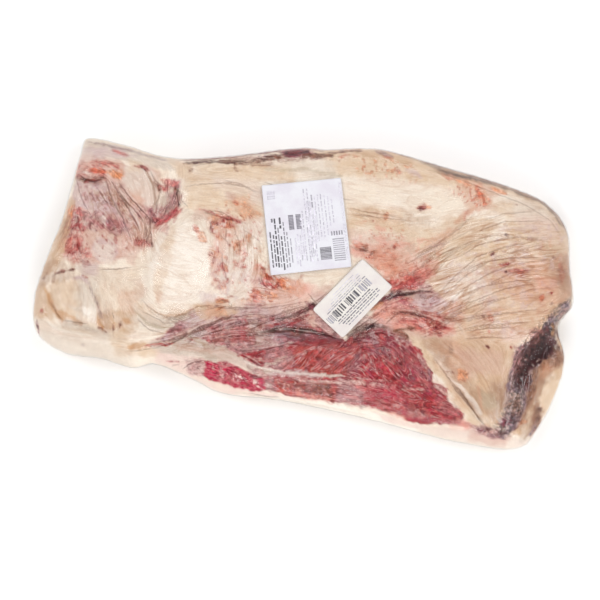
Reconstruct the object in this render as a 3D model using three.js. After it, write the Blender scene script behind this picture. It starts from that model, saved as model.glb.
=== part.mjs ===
// Beef short plate in a shrunk vacuum bag, lying flat with two paper labels stuck on the bag.
// Millimetres, +Z up, +X along the plate, the origin at the middle of the footprint on the ground.
import * as THREE from "three";

// The side of the pack: its widest line, the round shoulder above it and the rounding below it.
const RIM_HEIGHT = 17;
const SHOULDER = 26;
const FOOT = 15;
const BODY_THICKNESS = 48;

// The outline at the widest line, clockwise from the square back left corner.
const OUTLINE = [
  [-285, 122], [-240, 123], [-195, 116], [-158, 118], [-107, 130], [-56, 145],
  [-28, 152], [0, 154], [32, 161], [67, 164], [121, 157], [228, 140],
  [267, 126], [291, 100], [300, 54], [308, 12], [296, -10], [296, -22],
  [306, -50], [305, -76], [287, -134], [269, -161], [200, -166], [96, -156],
  [-8, -150], [-77, -152], [-113, -141], [-159, -131], [-181, -139], [-219, -134],
  [-262, -134], [-297, -116], [-307, -78], [-303, -32], [-294, 20], [-288, 104],
];
const CURVE_STEPS = 12;

// The rectangle of even cells inside the outline. Rings of cells join it to the outline.
const CORE = { left: -242, right: 236, back: 72, front: -96 };
const CORE_CELLS_X = 72;
const CORE_CELLS_Y = 26;
// Which points of the outline stand opposite the rectangle's corners.
const CORNERS = { backLeft: 0, backRight: 13, frontRight: 21, frontLeft: 31 };

// How far in from the outline each ring lies on the shoulder, and the share of the rest of the way.
const SHOULDER_ANGLES = [12, 26, 40, 55, 72, 90];
const FLANK_SHARES = [0.22, 0.46, 0.72];
const FOOT_ANGLES = [25, 50, 72, 90];

// Broad lobes of fat and muscle: centre, half sizes, turn in degrees, rise and how square its brow is.
const LOBES = [
  { name: "middle of the plate", x: 40, y: 20, long: 330, wide: 180, turn: 5, rise: 8, brow: 2 },
  { name: "right dome", x: 180, y: 55, long: 120, wide: 95, turn: -10, rise: 6, brow: 2 },
  { name: "smooth fat knob", x: -146, y: -17, long: 64, wide: 39, turn: 82, rise: 11, brow: 4 },
  { name: "back left cushion", x: -116, y: 72, long: 58, wide: 32, turn: 6, rise: 6, brow: 3 },
  { name: "corner cushion", x: -209, y: 62, long: 30, wide: 22, turn: 70, rise: 5, brow: 3 },
  { name: "corner muscle", x: -240, y: 34, long: 30, wide: 24, turn: 20, rise: 4, brow: 2 },
  { name: "end lobe", x: -267, y: -82, long: 34, wide: 17, turn: 105, rise: 6, brow: 3 },
  { name: "end pad", x: -237, y: -84, long: 33, wide: 17, turn: 125, rise: 7, brow: 3 },
  { name: "flat pad", x: -207, y: -60, long: 34, wide: 26, turn: 0, rise: 5, brow: 3 },
  { name: "front left roll", x: -232, y: -123, long: 62, wide: 17, turn: -3, rise: 7, brow: 3 },
  { name: "front left knuckle", x: -186, y: -118, long: 22, wide: 18, turn: 60, rise: 5, brow: 2 },
  { name: "front muscle", x: 108, y: -108, long: 100, wide: 36, turn: -8, rise: 7, brow: 2 },
  { name: "left muscle", x: -70, y: -118, long: 72, wide: 22, turn: 2, rise: 4, brow: 2 },
  { name: "stained pad", x: -78, y: 10, long: 42, wide: 52, turn: 0, rise: 4, brow: 2 },
  { name: "heel", x: 206, y: -98, long: 52, wide: 44, turn: 70, rise: 5, brow: 3 },
  { name: "tucked end", x: 292, y: -92, long: 78, wide: 32, turn: 80, rise: -15, brow: 4 },
];

// Folds and seams pressed in by the bag: a path, the half width and the depth.
const FOLDS = [
  { name: "waist", path: [[-176, 124], [-170, 96], [-168, 70]], wide: 14, deep: 5 },
  { name: "pocket beside the knob", path: [[-166, 72], [-172, 50], [-186, 22]], wide: 9, deep: 10 },
  { name: "seam left of the knob", path: [[-188, 14], [-194, -30], [-182, -76]], wide: 8, deep: 3 },
  { name: "seam under the knob", path: [[-186, -72], [-160, -88], [-112, -68]], wide: 7, deep: 5 },
  { name: "seam over the knob", path: [[-172, 50], [-140, 42], [-84, 38]], wide: 7, deep: 3 },
  { name: "end fold", path: [[-290, -66], [-264, -104], [-230, -106], [-206, -113]], wide: 6, deep: 6 },
  { name: "fold between end lobes", path: [[-262, -46], [-250, -70], [-247, -104]], wide: 5, deep: 4 },
  { name: "fold right of the pad", path: [[-242, -48], [-222, -76], [-206, -110]], wide: 5, deep: 4 },
  { name: "end nick", path: [[-292, 70], [-258, 66], [-226, 68]], wide: 5, deep: 5 },
  { name: "corner pleats", path: [[-244, 68], [-212, 30], [-192, 2]], wide: 8, deep: 4 },
  { name: "long fold", path: [[-40, -78], [26, -79], [54, -80], [84, -58]], wide: 6, deep: 7 },
  { name: "upper fold", path: [[92, -14], [118, -9], [146, -8]], wide: 6, deep: 6 },
  { name: "short fold", path: [[100, -36], [124, -30], [152, -38]], wide: 6, deep: 5 },
  { name: "front seam", path: [[-160, -122], [-70, -118], [-20, -132], [140, -136]], wide: 7, deep: 3 },
  { name: "heel seam", path: [[176, -104], [204, -124], [232, -150]], wide: 4, deep: 3 },
  { name: "tucked gap", path: [[306, 8], [266, -60], [256, -100], [236, -148]], wide: 11, deep: 14 },
];

// Labels: centre, size, turn in degrees and the number of cells each way.
const LABELS = [
  { name: "label_large", x: -9.5, y: 49, width: 92, height: 108, turn: 15, cells: [10, 12] },
  { name: "label_small", x: 55.5, y: -27, width: 82, height: 47, turn: 55, cells: [10, 6] },
];
const LABEL_THICKNESS = 0.6;
const LABEL_GAP = 0.3;
const LABEL_PRESS = 0.6;
const LABEL_MARGIN = 14;

const clamp = THREE.MathUtils.clamp;
const radians = THREE.MathUtils.degToRad;

// The outline as a closed run of short steps, centred on its own box.
function closedOutline() {
  const given = OUTLINE.map(([x, y]) => new THREE.Vector3(x, y, 0));
  const curve = new THREE.CatmullRomCurve3(given, true, "centripetal");
  const points = curve.getPoints(OUTLINE.length * CURVE_STEPS).slice(0, -1);
  const box = new THREE.Box3().setFromPoints(points);
  const middle = box.getCenter(new THREE.Vector3());
  return points.map((p) => new THREE.Vector2(p.x - middle.x, p.y - middle.y));
}

// Distance from a point to the nearest place on a run of points, and how far along the run that is, 0 to 1.
function nearestOnRun(x, y, run, closed) {
  let best = Infinity;
  let along = 0;
  const pieces = closed ? run.length : run.length - 1;
  for (let i = 0; i < pieces; i++) {
    const a = run[i];
    const b = run[(i + 1) % run.length];
    const dx = b.x - a.x;
    const dy = b.y - a.y;
    const t = clamp(((x - a.x) * dx + (y - a.y) * dy) / (dx * dx + dy * dy), 0, 1);
    const distance = Math.hypot(x - a.x - t * dx, y - a.y - t * dy);
    if (distance < best) {
      best = distance;
      along = (i + t) / pieces;
    }
  }
  return { distance: best, along };
}

function lobeRise(lobe, x, y) {
  const c = Math.cos(radians(lobe.turn));
  const s = Math.sin(radians(lobe.turn));
  const u = ((x - lobe.x) * c + (y - lobe.y) * s) / lobe.long;
  const v = ((y - lobe.y) * c - (x - lobe.x) * s) / lobe.wide;
  const reach = Math.min(1, Math.hypot(u, v));
  return lobe.rise * (1 - reach ** lobe.brow) ** 2;
}

function foldDepth(fold, x, y) {
  const { distance, along } = nearestOnRun(x, y, fold.run, false);
  const taper = Math.sin(Math.PI * clamp(along, 0, 1)) ** 0.5;
  return fold.deep * taper * Math.exp(-((distance / fold.wide) ** 2));
}

// 1 under a label and 0 a little way outside it.
function underLabel(label, x, y) {
  const c = Math.cos(radians(label.turn));
  const s = Math.sin(radians(label.turn));
  const u = Math.abs((x - label.x) * c + (y - label.y) * s) - label.width / 2;
  const v = Math.abs((y - label.y) * c - (x - label.x) * s) - label.height / 2;
  const outside = Math.hypot(Math.max(u, 0), Math.max(v, 0));
  return 1 - THREE.MathUtils.smoothstep(outside, 0, LABEL_MARGIN);
}

const outline = closedOutline();
const folds = FOLDS.map((fold) => ({ ...fold, run: fold.path.map(([x, y]) => new THREE.Vector2(x, y)) }));

function thickness(x, y) {
  const rise = LOBES.reduce((sum, lobe) => sum + lobeRise(lobe, x, y), 0);
  const pressed = Math.max(...LABELS.map((label) => underLabel(label, x, y)));
  const depth = folds.reduce((sum, fold) => sum + foldDepth(fold, x, y), 0);
  return BODY_THICKNESS + rise - depth * (1 - LABEL_PRESS * pressed);
}

// Height of the upper surface: a quarter round rises from the rim to the full thickness.
function topHeight(x, y) {
  const { distance } = nearestOnRun(x, y, outline, true);
  const share = 1 - Math.min(1, distance / SHOULDER);
  return RIM_HEIGHT + (thickness(x, y) - RIM_HEIGHT) * Math.sqrt(1 - share * share);
}

// Points spaced evenly along the outline between two of its given points.
function alongOutline(from, to, count) {
  const first = from * CURVE_STEPS;
  const last = (to > from ? to : to + OUTLINE.length) * CURVE_STEPS;
  const run = [];
  for (let i = first; i <= last; i++) run.push(outline[i % outline.length]);
  const reach = [0];
  for (let i = 1; i < run.length; i++) reach.push(reach[i - 1] + run[i].distanceTo(run[i - 1]));
  const points = [];
  let k = 0;
  for (let i = 0; i < count; i++) {
    const wanted = (reach[reach.length - 1] * i) / count;
    while (reach[k + 1] < wanted) k++;
    points.push(run[k].clone().lerp(run[k + 1], (wanted - reach[k]) / (reach[k + 1] - reach[k])));
  }
  return points;
}

// The rectangle's border points in the same order as the outline's: back, right, front, left.
function coreBorder() {
  const border = [];
  for (let i = 0; i < CORE_CELLS_X; i++) border.push([i, 0]);
  for (let j = 0; j < CORE_CELLS_Y; j++) border.push([CORE_CELLS_X, j]);
  for (let i = CORE_CELLS_X; i > 0; i--) border.push([i, CORE_CELLS_Y]);
  for (let j = CORE_CELLS_Y; j > 0; j--) border.push([0, j]);
  return border;
}

function packGeometry() {
  const positions = [];
  const faces = [];
  const add = (x, y, z) => positions.push(x, y, z) / 3 - 1;
  const at = (index) => new THREE.Vector2(positions[3 * index], positions[3 * index + 1]);
  const quad = (a, b, c, d) => faces.push(a, b, c, a, c, d);

  const core = [];
  for (let j = 0; j <= CORE_CELLS_Y; j++) {
    const y = THREE.MathUtils.lerp(CORE.back, CORE.front, j / CORE_CELLS_Y);
    core.push([]);
    for (let i = 0; i <= CORE_CELLS_X; i++) {
      const x = THREE.MathUtils.lerp(CORE.left, CORE.right, i / CORE_CELLS_X);
      core[j].push(add(x, y, topHeight(x, y)));
    }
  }
  for (let j = 0; j < CORE_CELLS_Y; j++)
    for (let i = 0; i < CORE_CELLS_X; i++)
      quad(core[j][i], core[j + 1][i], core[j + 1][i + 1], core[j][i + 1]);

  const { backLeft, backRight, frontRight, frontLeft } = CORNERS;
  const rim = [
    ...alongOutline(backLeft, backRight, CORE_CELLS_X),
    ...alongOutline(backRight, frontRight, CORE_CELLS_Y),
    ...alongOutline(frontRight, frontLeft, CORE_CELLS_X),
    ...alongOutline(frontLeft, backLeft, CORE_CELLS_Y),
  ];
  const border = coreBorder().map(([i, j]) => core[j][i]);
  const inward = rim.map((p, k) => at(border[k]).sub(p).normalize());
  const reach = rim.map((p, k) => at(border[k]).distanceTo(p));

  // One ring of points, each a given way in from the outline.
  const ring = (depthOf, heightOf) =>
    rim.map((p, k) => {
      const q = p.clone().addScaledVector(inward[k], depthOf(k));
      return add(q.x, q.y, heightOf(q));
    });
  const join = (outer, inner) => {
    for (let k = 0; k < outer.length; k++) {
      const next = (k + 1) % outer.length;
      quad(outer[k], inner[k], inner[next], outer[next]);
    }
  };
  const rimRing = ring(() => 0, () => RIM_HEIGHT);
  const onTop = (q) => topHeight(q.x, q.y);
  const rings = [
    rimRing,
    ...SHOULDER_ANGLES.map((angle) => ring(() => SHOULDER * (1 - Math.cos(radians(angle))), onTop)),
    ...FLANK_SHARES.map((share) => ring((k) => SHOULDER + (reach[k] - SHOULDER) * share, onTop)),
    border,
  ];
  for (let r = 1; r < rings.length; r++) join(rings[r - 1], rings[r]);

  // The underside rounds in from the rim to a flat foot on the ground.
  let above = rimRing;
  for (const angle of FOOT_ANGLES) {
    const inset = FOOT * (1 - Math.cos(radians(angle)));
    const height = RIM_HEIGHT * (1 - Math.sin(radians(angle)));
    const below = ring(() => inset, () => height);
    join(below, above);
    above = below;
  }
  const foot = above.map(at);
  for (const [a, b, c] of THREE.ShapeUtils.triangulateShape(foot, [])) {
    const turnsLeft = foot[b].clone().sub(foot[a]).cross(foot[c].clone().sub(foot[a])) > 0;
    faces.push(above[a], above[turnsLeft ? c : b], above[turnsLeft ? b : c]);
  }
  return geometryFrom(positions, faces);
}

function geometryFrom(positions, faces) {
  const geometry = new THREE.BufferGeometry();
  geometry.setAttribute("position", new THREE.Float32BufferAttribute(positions, 3));
  geometry.setIndex(faces);
  geometry.computeVertexNormals();
  return geometry;
}

// A label bent over the pack: a thin sheet whose underside clears the surface by a small gap.
function labelGeometry(label, pack) {
  const [across, down] = label.cells;
  const c = Math.cos(radians(label.turn));
  const s = Math.sin(radians(label.turn));
  const probe = new THREE.Raycaster();
  const straightDown = new THREE.Vector3(0, 0, -1);
  const heightAt = (x, y) => {
    probe.set(new THREE.Vector3(x, y, 200), straightDown);
    return probe.intersectObject(pack)[0].point.z;
  };
  const place = (u, v) => [label.x + u * c - v * s, label.y + u * s + v * c];
  const highestNear = (u, v) => {
    const stepU = label.width / across / 2;
    const stepV = label.height / down / 2;
    const around = [[0, 0], [1, 0], [-1, 0], [0, 1], [0, -1], [1, 1], [-1, 1], [1, -1], [-1, -1]];
    return Math.max(...around.map(([i, j]) => heightAt(...place(u + i * stepU, v + j * stepV))));
  };
  const positions = [];
  const faces = [];
  for (let j = 0; j <= down; j++)
    for (let i = 0; i <= across; i++) {
      const u = label.width * (i / across - 0.5);
      const v = label.height * (j / down - 0.5);
      const [x, y] = place(u, v);
      const z = highestNear(u, v) + LABEL_GAP;
      positions.push(x, y, z, x, y, z + LABEL_THICKNESS);
    }
  const at = (i, j, upper) => 2 * (j * (across + 1) + i) + upper;
  const quad = (a, b, d, e) => faces.push(a, b, d, a, d, e);
  for (let j = 0; j < down; j++)
    for (let i = 0; i < across; i++) {
      quad(at(i, j, 1), at(i + 1, j, 1), at(i + 1, j + 1, 1), at(i, j + 1, 1));
      quad(at(i, j, 0), at(i, j + 1, 0), at(i + 1, j + 1, 0), at(i + 1, j, 0));
    }
  for (let i = 0; i < across; i++) {
    quad(at(i, 0, 0), at(i + 1, 0, 0), at(i + 1, 0, 1), at(i, 0, 1));
    quad(at(i + 1, down, 0), at(i, down, 0), at(i, down, 1), at(i + 1, down, 1));
  }
  for (let j = 0; j < down; j++) {
    quad(at(0, j + 1, 0), at(0, j, 0), at(0, j, 1), at(0, j + 1, 1));
    quad(at(across, j, 0), at(across, j + 1, 0), at(across, j + 1, 1), at(across, j, 1));
  }
  return geometryFrom(positions, faces);
}

const film = new THREE.MeshStandardMaterial({ color: 0xe4cdb4, roughness: 0.3, metalness: 0 });
const papers = {
  label_large: new THREE.MeshStandardMaterial({ color: 0xf0eef4, roughness: 0.6, metalness: 0 }),
  label_small: new THREE.MeshStandardMaterial({ color: 0xf6efe2, roughness: 0.6, metalness: 0 }),
};

const group = new THREE.Group();
const pack = new THREE.Mesh(packGeometry(), film);
pack.name = "packed_plate";
group.add(pack);
pack.updateMatrixWorld(true);
for (const label of LABELS) {
  const mesh = new THREE.Mesh(labelGeometry(label, pack), papers[label.name]);
  mesh.name = label.name;
  group.add(mesh);
}

export default group;
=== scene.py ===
# The looks of a vacuum-packed beef short plate: the meat, the clear film shrunk on it and two paper labels.
# Lengths are in millimetres until a mesh is made. Places on the plate are read along a slanting line of
# sight, so a place (x, y) is where that line meets the level plane at READING_HEIGHT.
import math

import bpy
import numpy as np
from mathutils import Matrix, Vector


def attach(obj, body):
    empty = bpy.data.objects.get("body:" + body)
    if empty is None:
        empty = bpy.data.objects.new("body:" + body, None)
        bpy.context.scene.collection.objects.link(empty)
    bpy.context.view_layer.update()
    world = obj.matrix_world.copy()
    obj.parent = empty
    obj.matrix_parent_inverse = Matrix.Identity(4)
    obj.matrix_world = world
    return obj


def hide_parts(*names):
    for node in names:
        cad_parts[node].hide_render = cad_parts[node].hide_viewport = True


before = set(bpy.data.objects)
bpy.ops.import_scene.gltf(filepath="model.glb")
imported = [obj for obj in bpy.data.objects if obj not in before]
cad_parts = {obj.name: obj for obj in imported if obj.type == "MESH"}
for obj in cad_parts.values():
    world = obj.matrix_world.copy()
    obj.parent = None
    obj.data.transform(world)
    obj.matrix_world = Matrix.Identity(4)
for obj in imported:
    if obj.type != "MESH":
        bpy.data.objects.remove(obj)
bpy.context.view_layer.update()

METRE = 0.001

# Seeds of the random fields, and the cells after which their lattice repeats.
LATTICE = 64
SEEDS = {
    "warp": 8, "fray": 16, "blotch": 28, "patch": 32, "mottle": 40, "layer waves": 48, "layer edges": 52,
    "back blotches": 56, "weave": 57, "layers": 67, "gathers": 77, "crumple": 82, "lumps": 87,
    "label waves": 97, "large print": 107, "small print": 108, "flecks": 207,
}

# The level plane that places are read on, the slant of the line of sight over it, and the way from the
# plate to the eye.
READING_HEIGHT = 48
READING_SLOPE = 0.25
SIGHT = (0.04, -0.24, 0.97)

# The form, from the same named values as the solids.
RIM_HEIGHT = 17
SHOULDER = 26
FOOT = 15
BODY_THICKNESS = 48
CURVE_STEPS = 12
OUTLINE = [
    (-285, 122), (-240, 123), (-195, 116), (-158, 118), (-107, 130), (-56, 145),
    (-28, 152), (0, 154), (32, 161), (67, 164), (121, 157), (228, 140),
    (267, 126), (291, 100), (300, 54), (308, 12), (296, -10), (296, -22),
    (306, -50), (305, -76), (287, -134), (269, -161), (200, -166), (96, -156),
    (-8, -150), (-77, -152), (-113, -141), (-159, -131), (-181, -139), (-219, -134),
    (-262, -134), (-297, -116), (-307, -78), (-303, -32), (-294, 20), (-288, 104),
]
CORE = {"left": -242, "right": 236, "back": 72, "front": -96}
CORNERS = {"back left": 0, "back right": 13, "front right": 21, "front left": 31}

# Lobes: name, x, y, long, wide, turn in degrees, rise, brow.
LOBES = [
    ("middle of the plate", 40, 20, 330, 180, 5, 8, 2),
    ("right dome", 180, 55, 120, 95, -10, 6, 2),
    ("smooth fat knob", -146, -17, 64, 39, 82, 11, 4),
    ("back left cushion", -116, 72, 58, 32, 6, 6, 3),
    ("corner cushion", -209, 62, 30, 22, 70, 5, 3),
    ("corner muscle", -240, 34, 30, 24, 20, 4, 2),
    ("end lobe", -267, -82, 34, 17, 105, 6, 3),
    ("end pad", -237, -84, 33, 17, 125, 7, 3),
    ("flat pad", -207, -60, 34, 26, 0, 5, 3),
    ("front left roll", -232, -123, 62, 17, -3, 7, 3),
    ("front left knuckle", -186, -118, 22, 18, 60, 5, 2),
    ("front muscle", 108, -108, 100, 36, -8, 7, 2),
    ("left muscle", -70, -118, 72, 22, 2, 4, 2),
    ("stained pad", -78, 10, 42, 52, 0, 4, 2),
    ("heel", 206, -98, 52, 44, 70, 5, 3),
    ("tucked end", 292, -92, 78, 32, 80, -15, 4),
]

# Folds: name, half width, depth, path.
FOLDS = [
    ("waist", 14, 5, [(-176, 124), (-170, 96), (-168, 70)]),
    ("pocket beside the knob", 9, 10, [(-166, 72), (-172, 50), (-186, 22)]),
    ("seam left of the knob", 8, 3, [(-188, 14), (-194, -30), (-182, -76)]),
    ("seam under the knob", 7, 5, [(-186, -72), (-160, -88), (-112, -68)]),
    ("seam over the knob", 7, 3, [(-172, 50), (-140, 42), (-84, 38)]),
    ("end fold", 6, 6, [(-290, -66), (-264, -104), (-230, -106), (-206, -113)]),
    ("fold between end lobes", 5, 4, [(-262, -46), (-250, -70), (-247, -104)]),
    ("fold right of the pad", 5, 4, [(-242, -48), (-222, -76), (-206, -110)]),
    ("end nick", 5, 5, [(-292, 70), (-258, 66), (-226, 68)]),
    ("corner pleats", 8, 4, [(-244, 68), (-212, 30), (-192, 2)]),
    ("long fold", 6, 7, [(-40, -78), (26, -79), (54, -80), (84, -58)]),
    ("upper fold", 6, 6, [(92, -14), (118, -9), (146, -8)]),
    ("short fold", 6, 5, [(100, -36), (124, -30), (152, -38)]),
    ("front seam", 7, 3, [(-160, -122), (-70, -118), (-20, -132), (140, -136)]),
    ("heel seam", 4, 3, [(176, -104), (204, -124), (232, -150)]),
    ("tucked gap", 11, 14, [(306, 8), (266, -60), (256, -100), (236, -148)]),
]

# Labels: x, y, width, height, turn in degrees.
LABELS = {"label_large": (-9.5, 49, 92, 108, 15), "label_small": (55.5, -27, 82, 47, 55)}
LABEL_PRESS = 0.6
LABEL_MARGIN = 14

# The fine mesh: cells of the core, rings on the shoulder, flank, foot and underside.
CELLS_X = 300
CELLS_Y = 106
SHOULDER_RINGS = 24
FLANK_RINGS = 26
FOOT_RINGS = 8
UNDER_RINGS = 10

# The film lies on the form, and the meat this far inside it, with this gap at the least.
MEAT_DEPTH = 1.1
LEAST_GAP = 0.25
# Heights of the film's small wrinkles, their broad waves, the gathers on the sides and the crumpled film,
# and the share of each crease's depth that the film sinks into it.
RIDGES = 0.30
WAVES = 0.14
GATHERS = 0.4
CRUMPLES = 0.9
SINKING = 0.55

# Thin lines are looked for this far off, and fade out between these distances.
LINE_REACH = 9.0
LINE_FADE = (2.6, 4.2)

# Paint: its lightness, the power that turns a colour linear, the trace of plain fat and flesh everywhere,
# the blur of flecks' outlines, how patchy the coats on the sides are, and the points that the lilac is
# shifted by.
PAINT_LIGHT = 0.9
GAMMA = 2.2
TRACE = 0.02
FLECK_EDGE = 4
PATCHY = 0.4
LILAC_SHIFT = 977

# Colours as they look in plain daylight, red, green and blue from 0 to 255. The shadow, crease and olive
# grey pigments are painted shade for creases, hollows and sides turned from the light.
PIGMENTS = {
    "fat": (243, 230, 214),
    "bright": (250, 241, 231),
    "tan": (222, 195, 167),
    "buff": (204, 168, 136),
    "greyfat": (220, 205, 190),
    "olive_shade": (187, 171, 147),
    "pinkfat": (231, 204, 194),
    "peach": (208, 158, 132),
    "lilac": (204, 178, 178),
    "mauve": (180, 132, 132),
    "silver": (203, 186, 172),
    "pale": (228, 210, 198),
    "rosy": (212, 174, 160),
    "salmon": (224, 156, 140),
    "lean": (158, 54, 60),
    "brick": (176, 80, 66),
    "crimson": (182, 36, 72),
    "plum": (132, 66, 78),
    "blood": (154, 42, 48),
    "red": (194, 98, 92),
    "rust": (206, 108, 80),
    "orange": (224, 150, 108),
    "ochre": (198, 146, 98),
    "brown": (128, 84, 64),
    "dark": (88, 50, 50),
    "black": (48, 22, 26),
    "slate": (136, 114, 122),
    "crease_shade": (158, 120, 96),
    "shadow": (112, 92, 84),
}
# Flesh and stains show in small islands, and the other pigments blend into the fat.
FLESH = {
    "lean", "brick", "crimson", "plum", "blood", "mauve", "red", "rust", "orange", "brown", "dark", "black",
    "slate",
}


def area(pigment, strength, soft, *places):
    """A field of colour inside a closed outline, with its edge blurred over twice soft."""
    return "area", pigment, strength, soft, np.array(places, float)


def box(pigment, strength, soft, left, right, low, high):
    """A field of colour inside an upright rectangle."""
    return area(pigment, strength, soft, (left, high), (right, high), (right, low), (left, low))


def streak(pigment, strength, half, *places):
    """A stroke of colour along a path, or a spot where the path is one place."""
    return "streak", pigment, strength, half, np.array(places * (2 if len(places) == 1 else 1), float)


def flecks(pigment, strength, grain, cover, *places):
    """Small islands of colour, a grain across, over a share of the ground inside a closed outline."""
    return "flecks", pigment, strength, (grain, cover), np.array(places, float)
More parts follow.
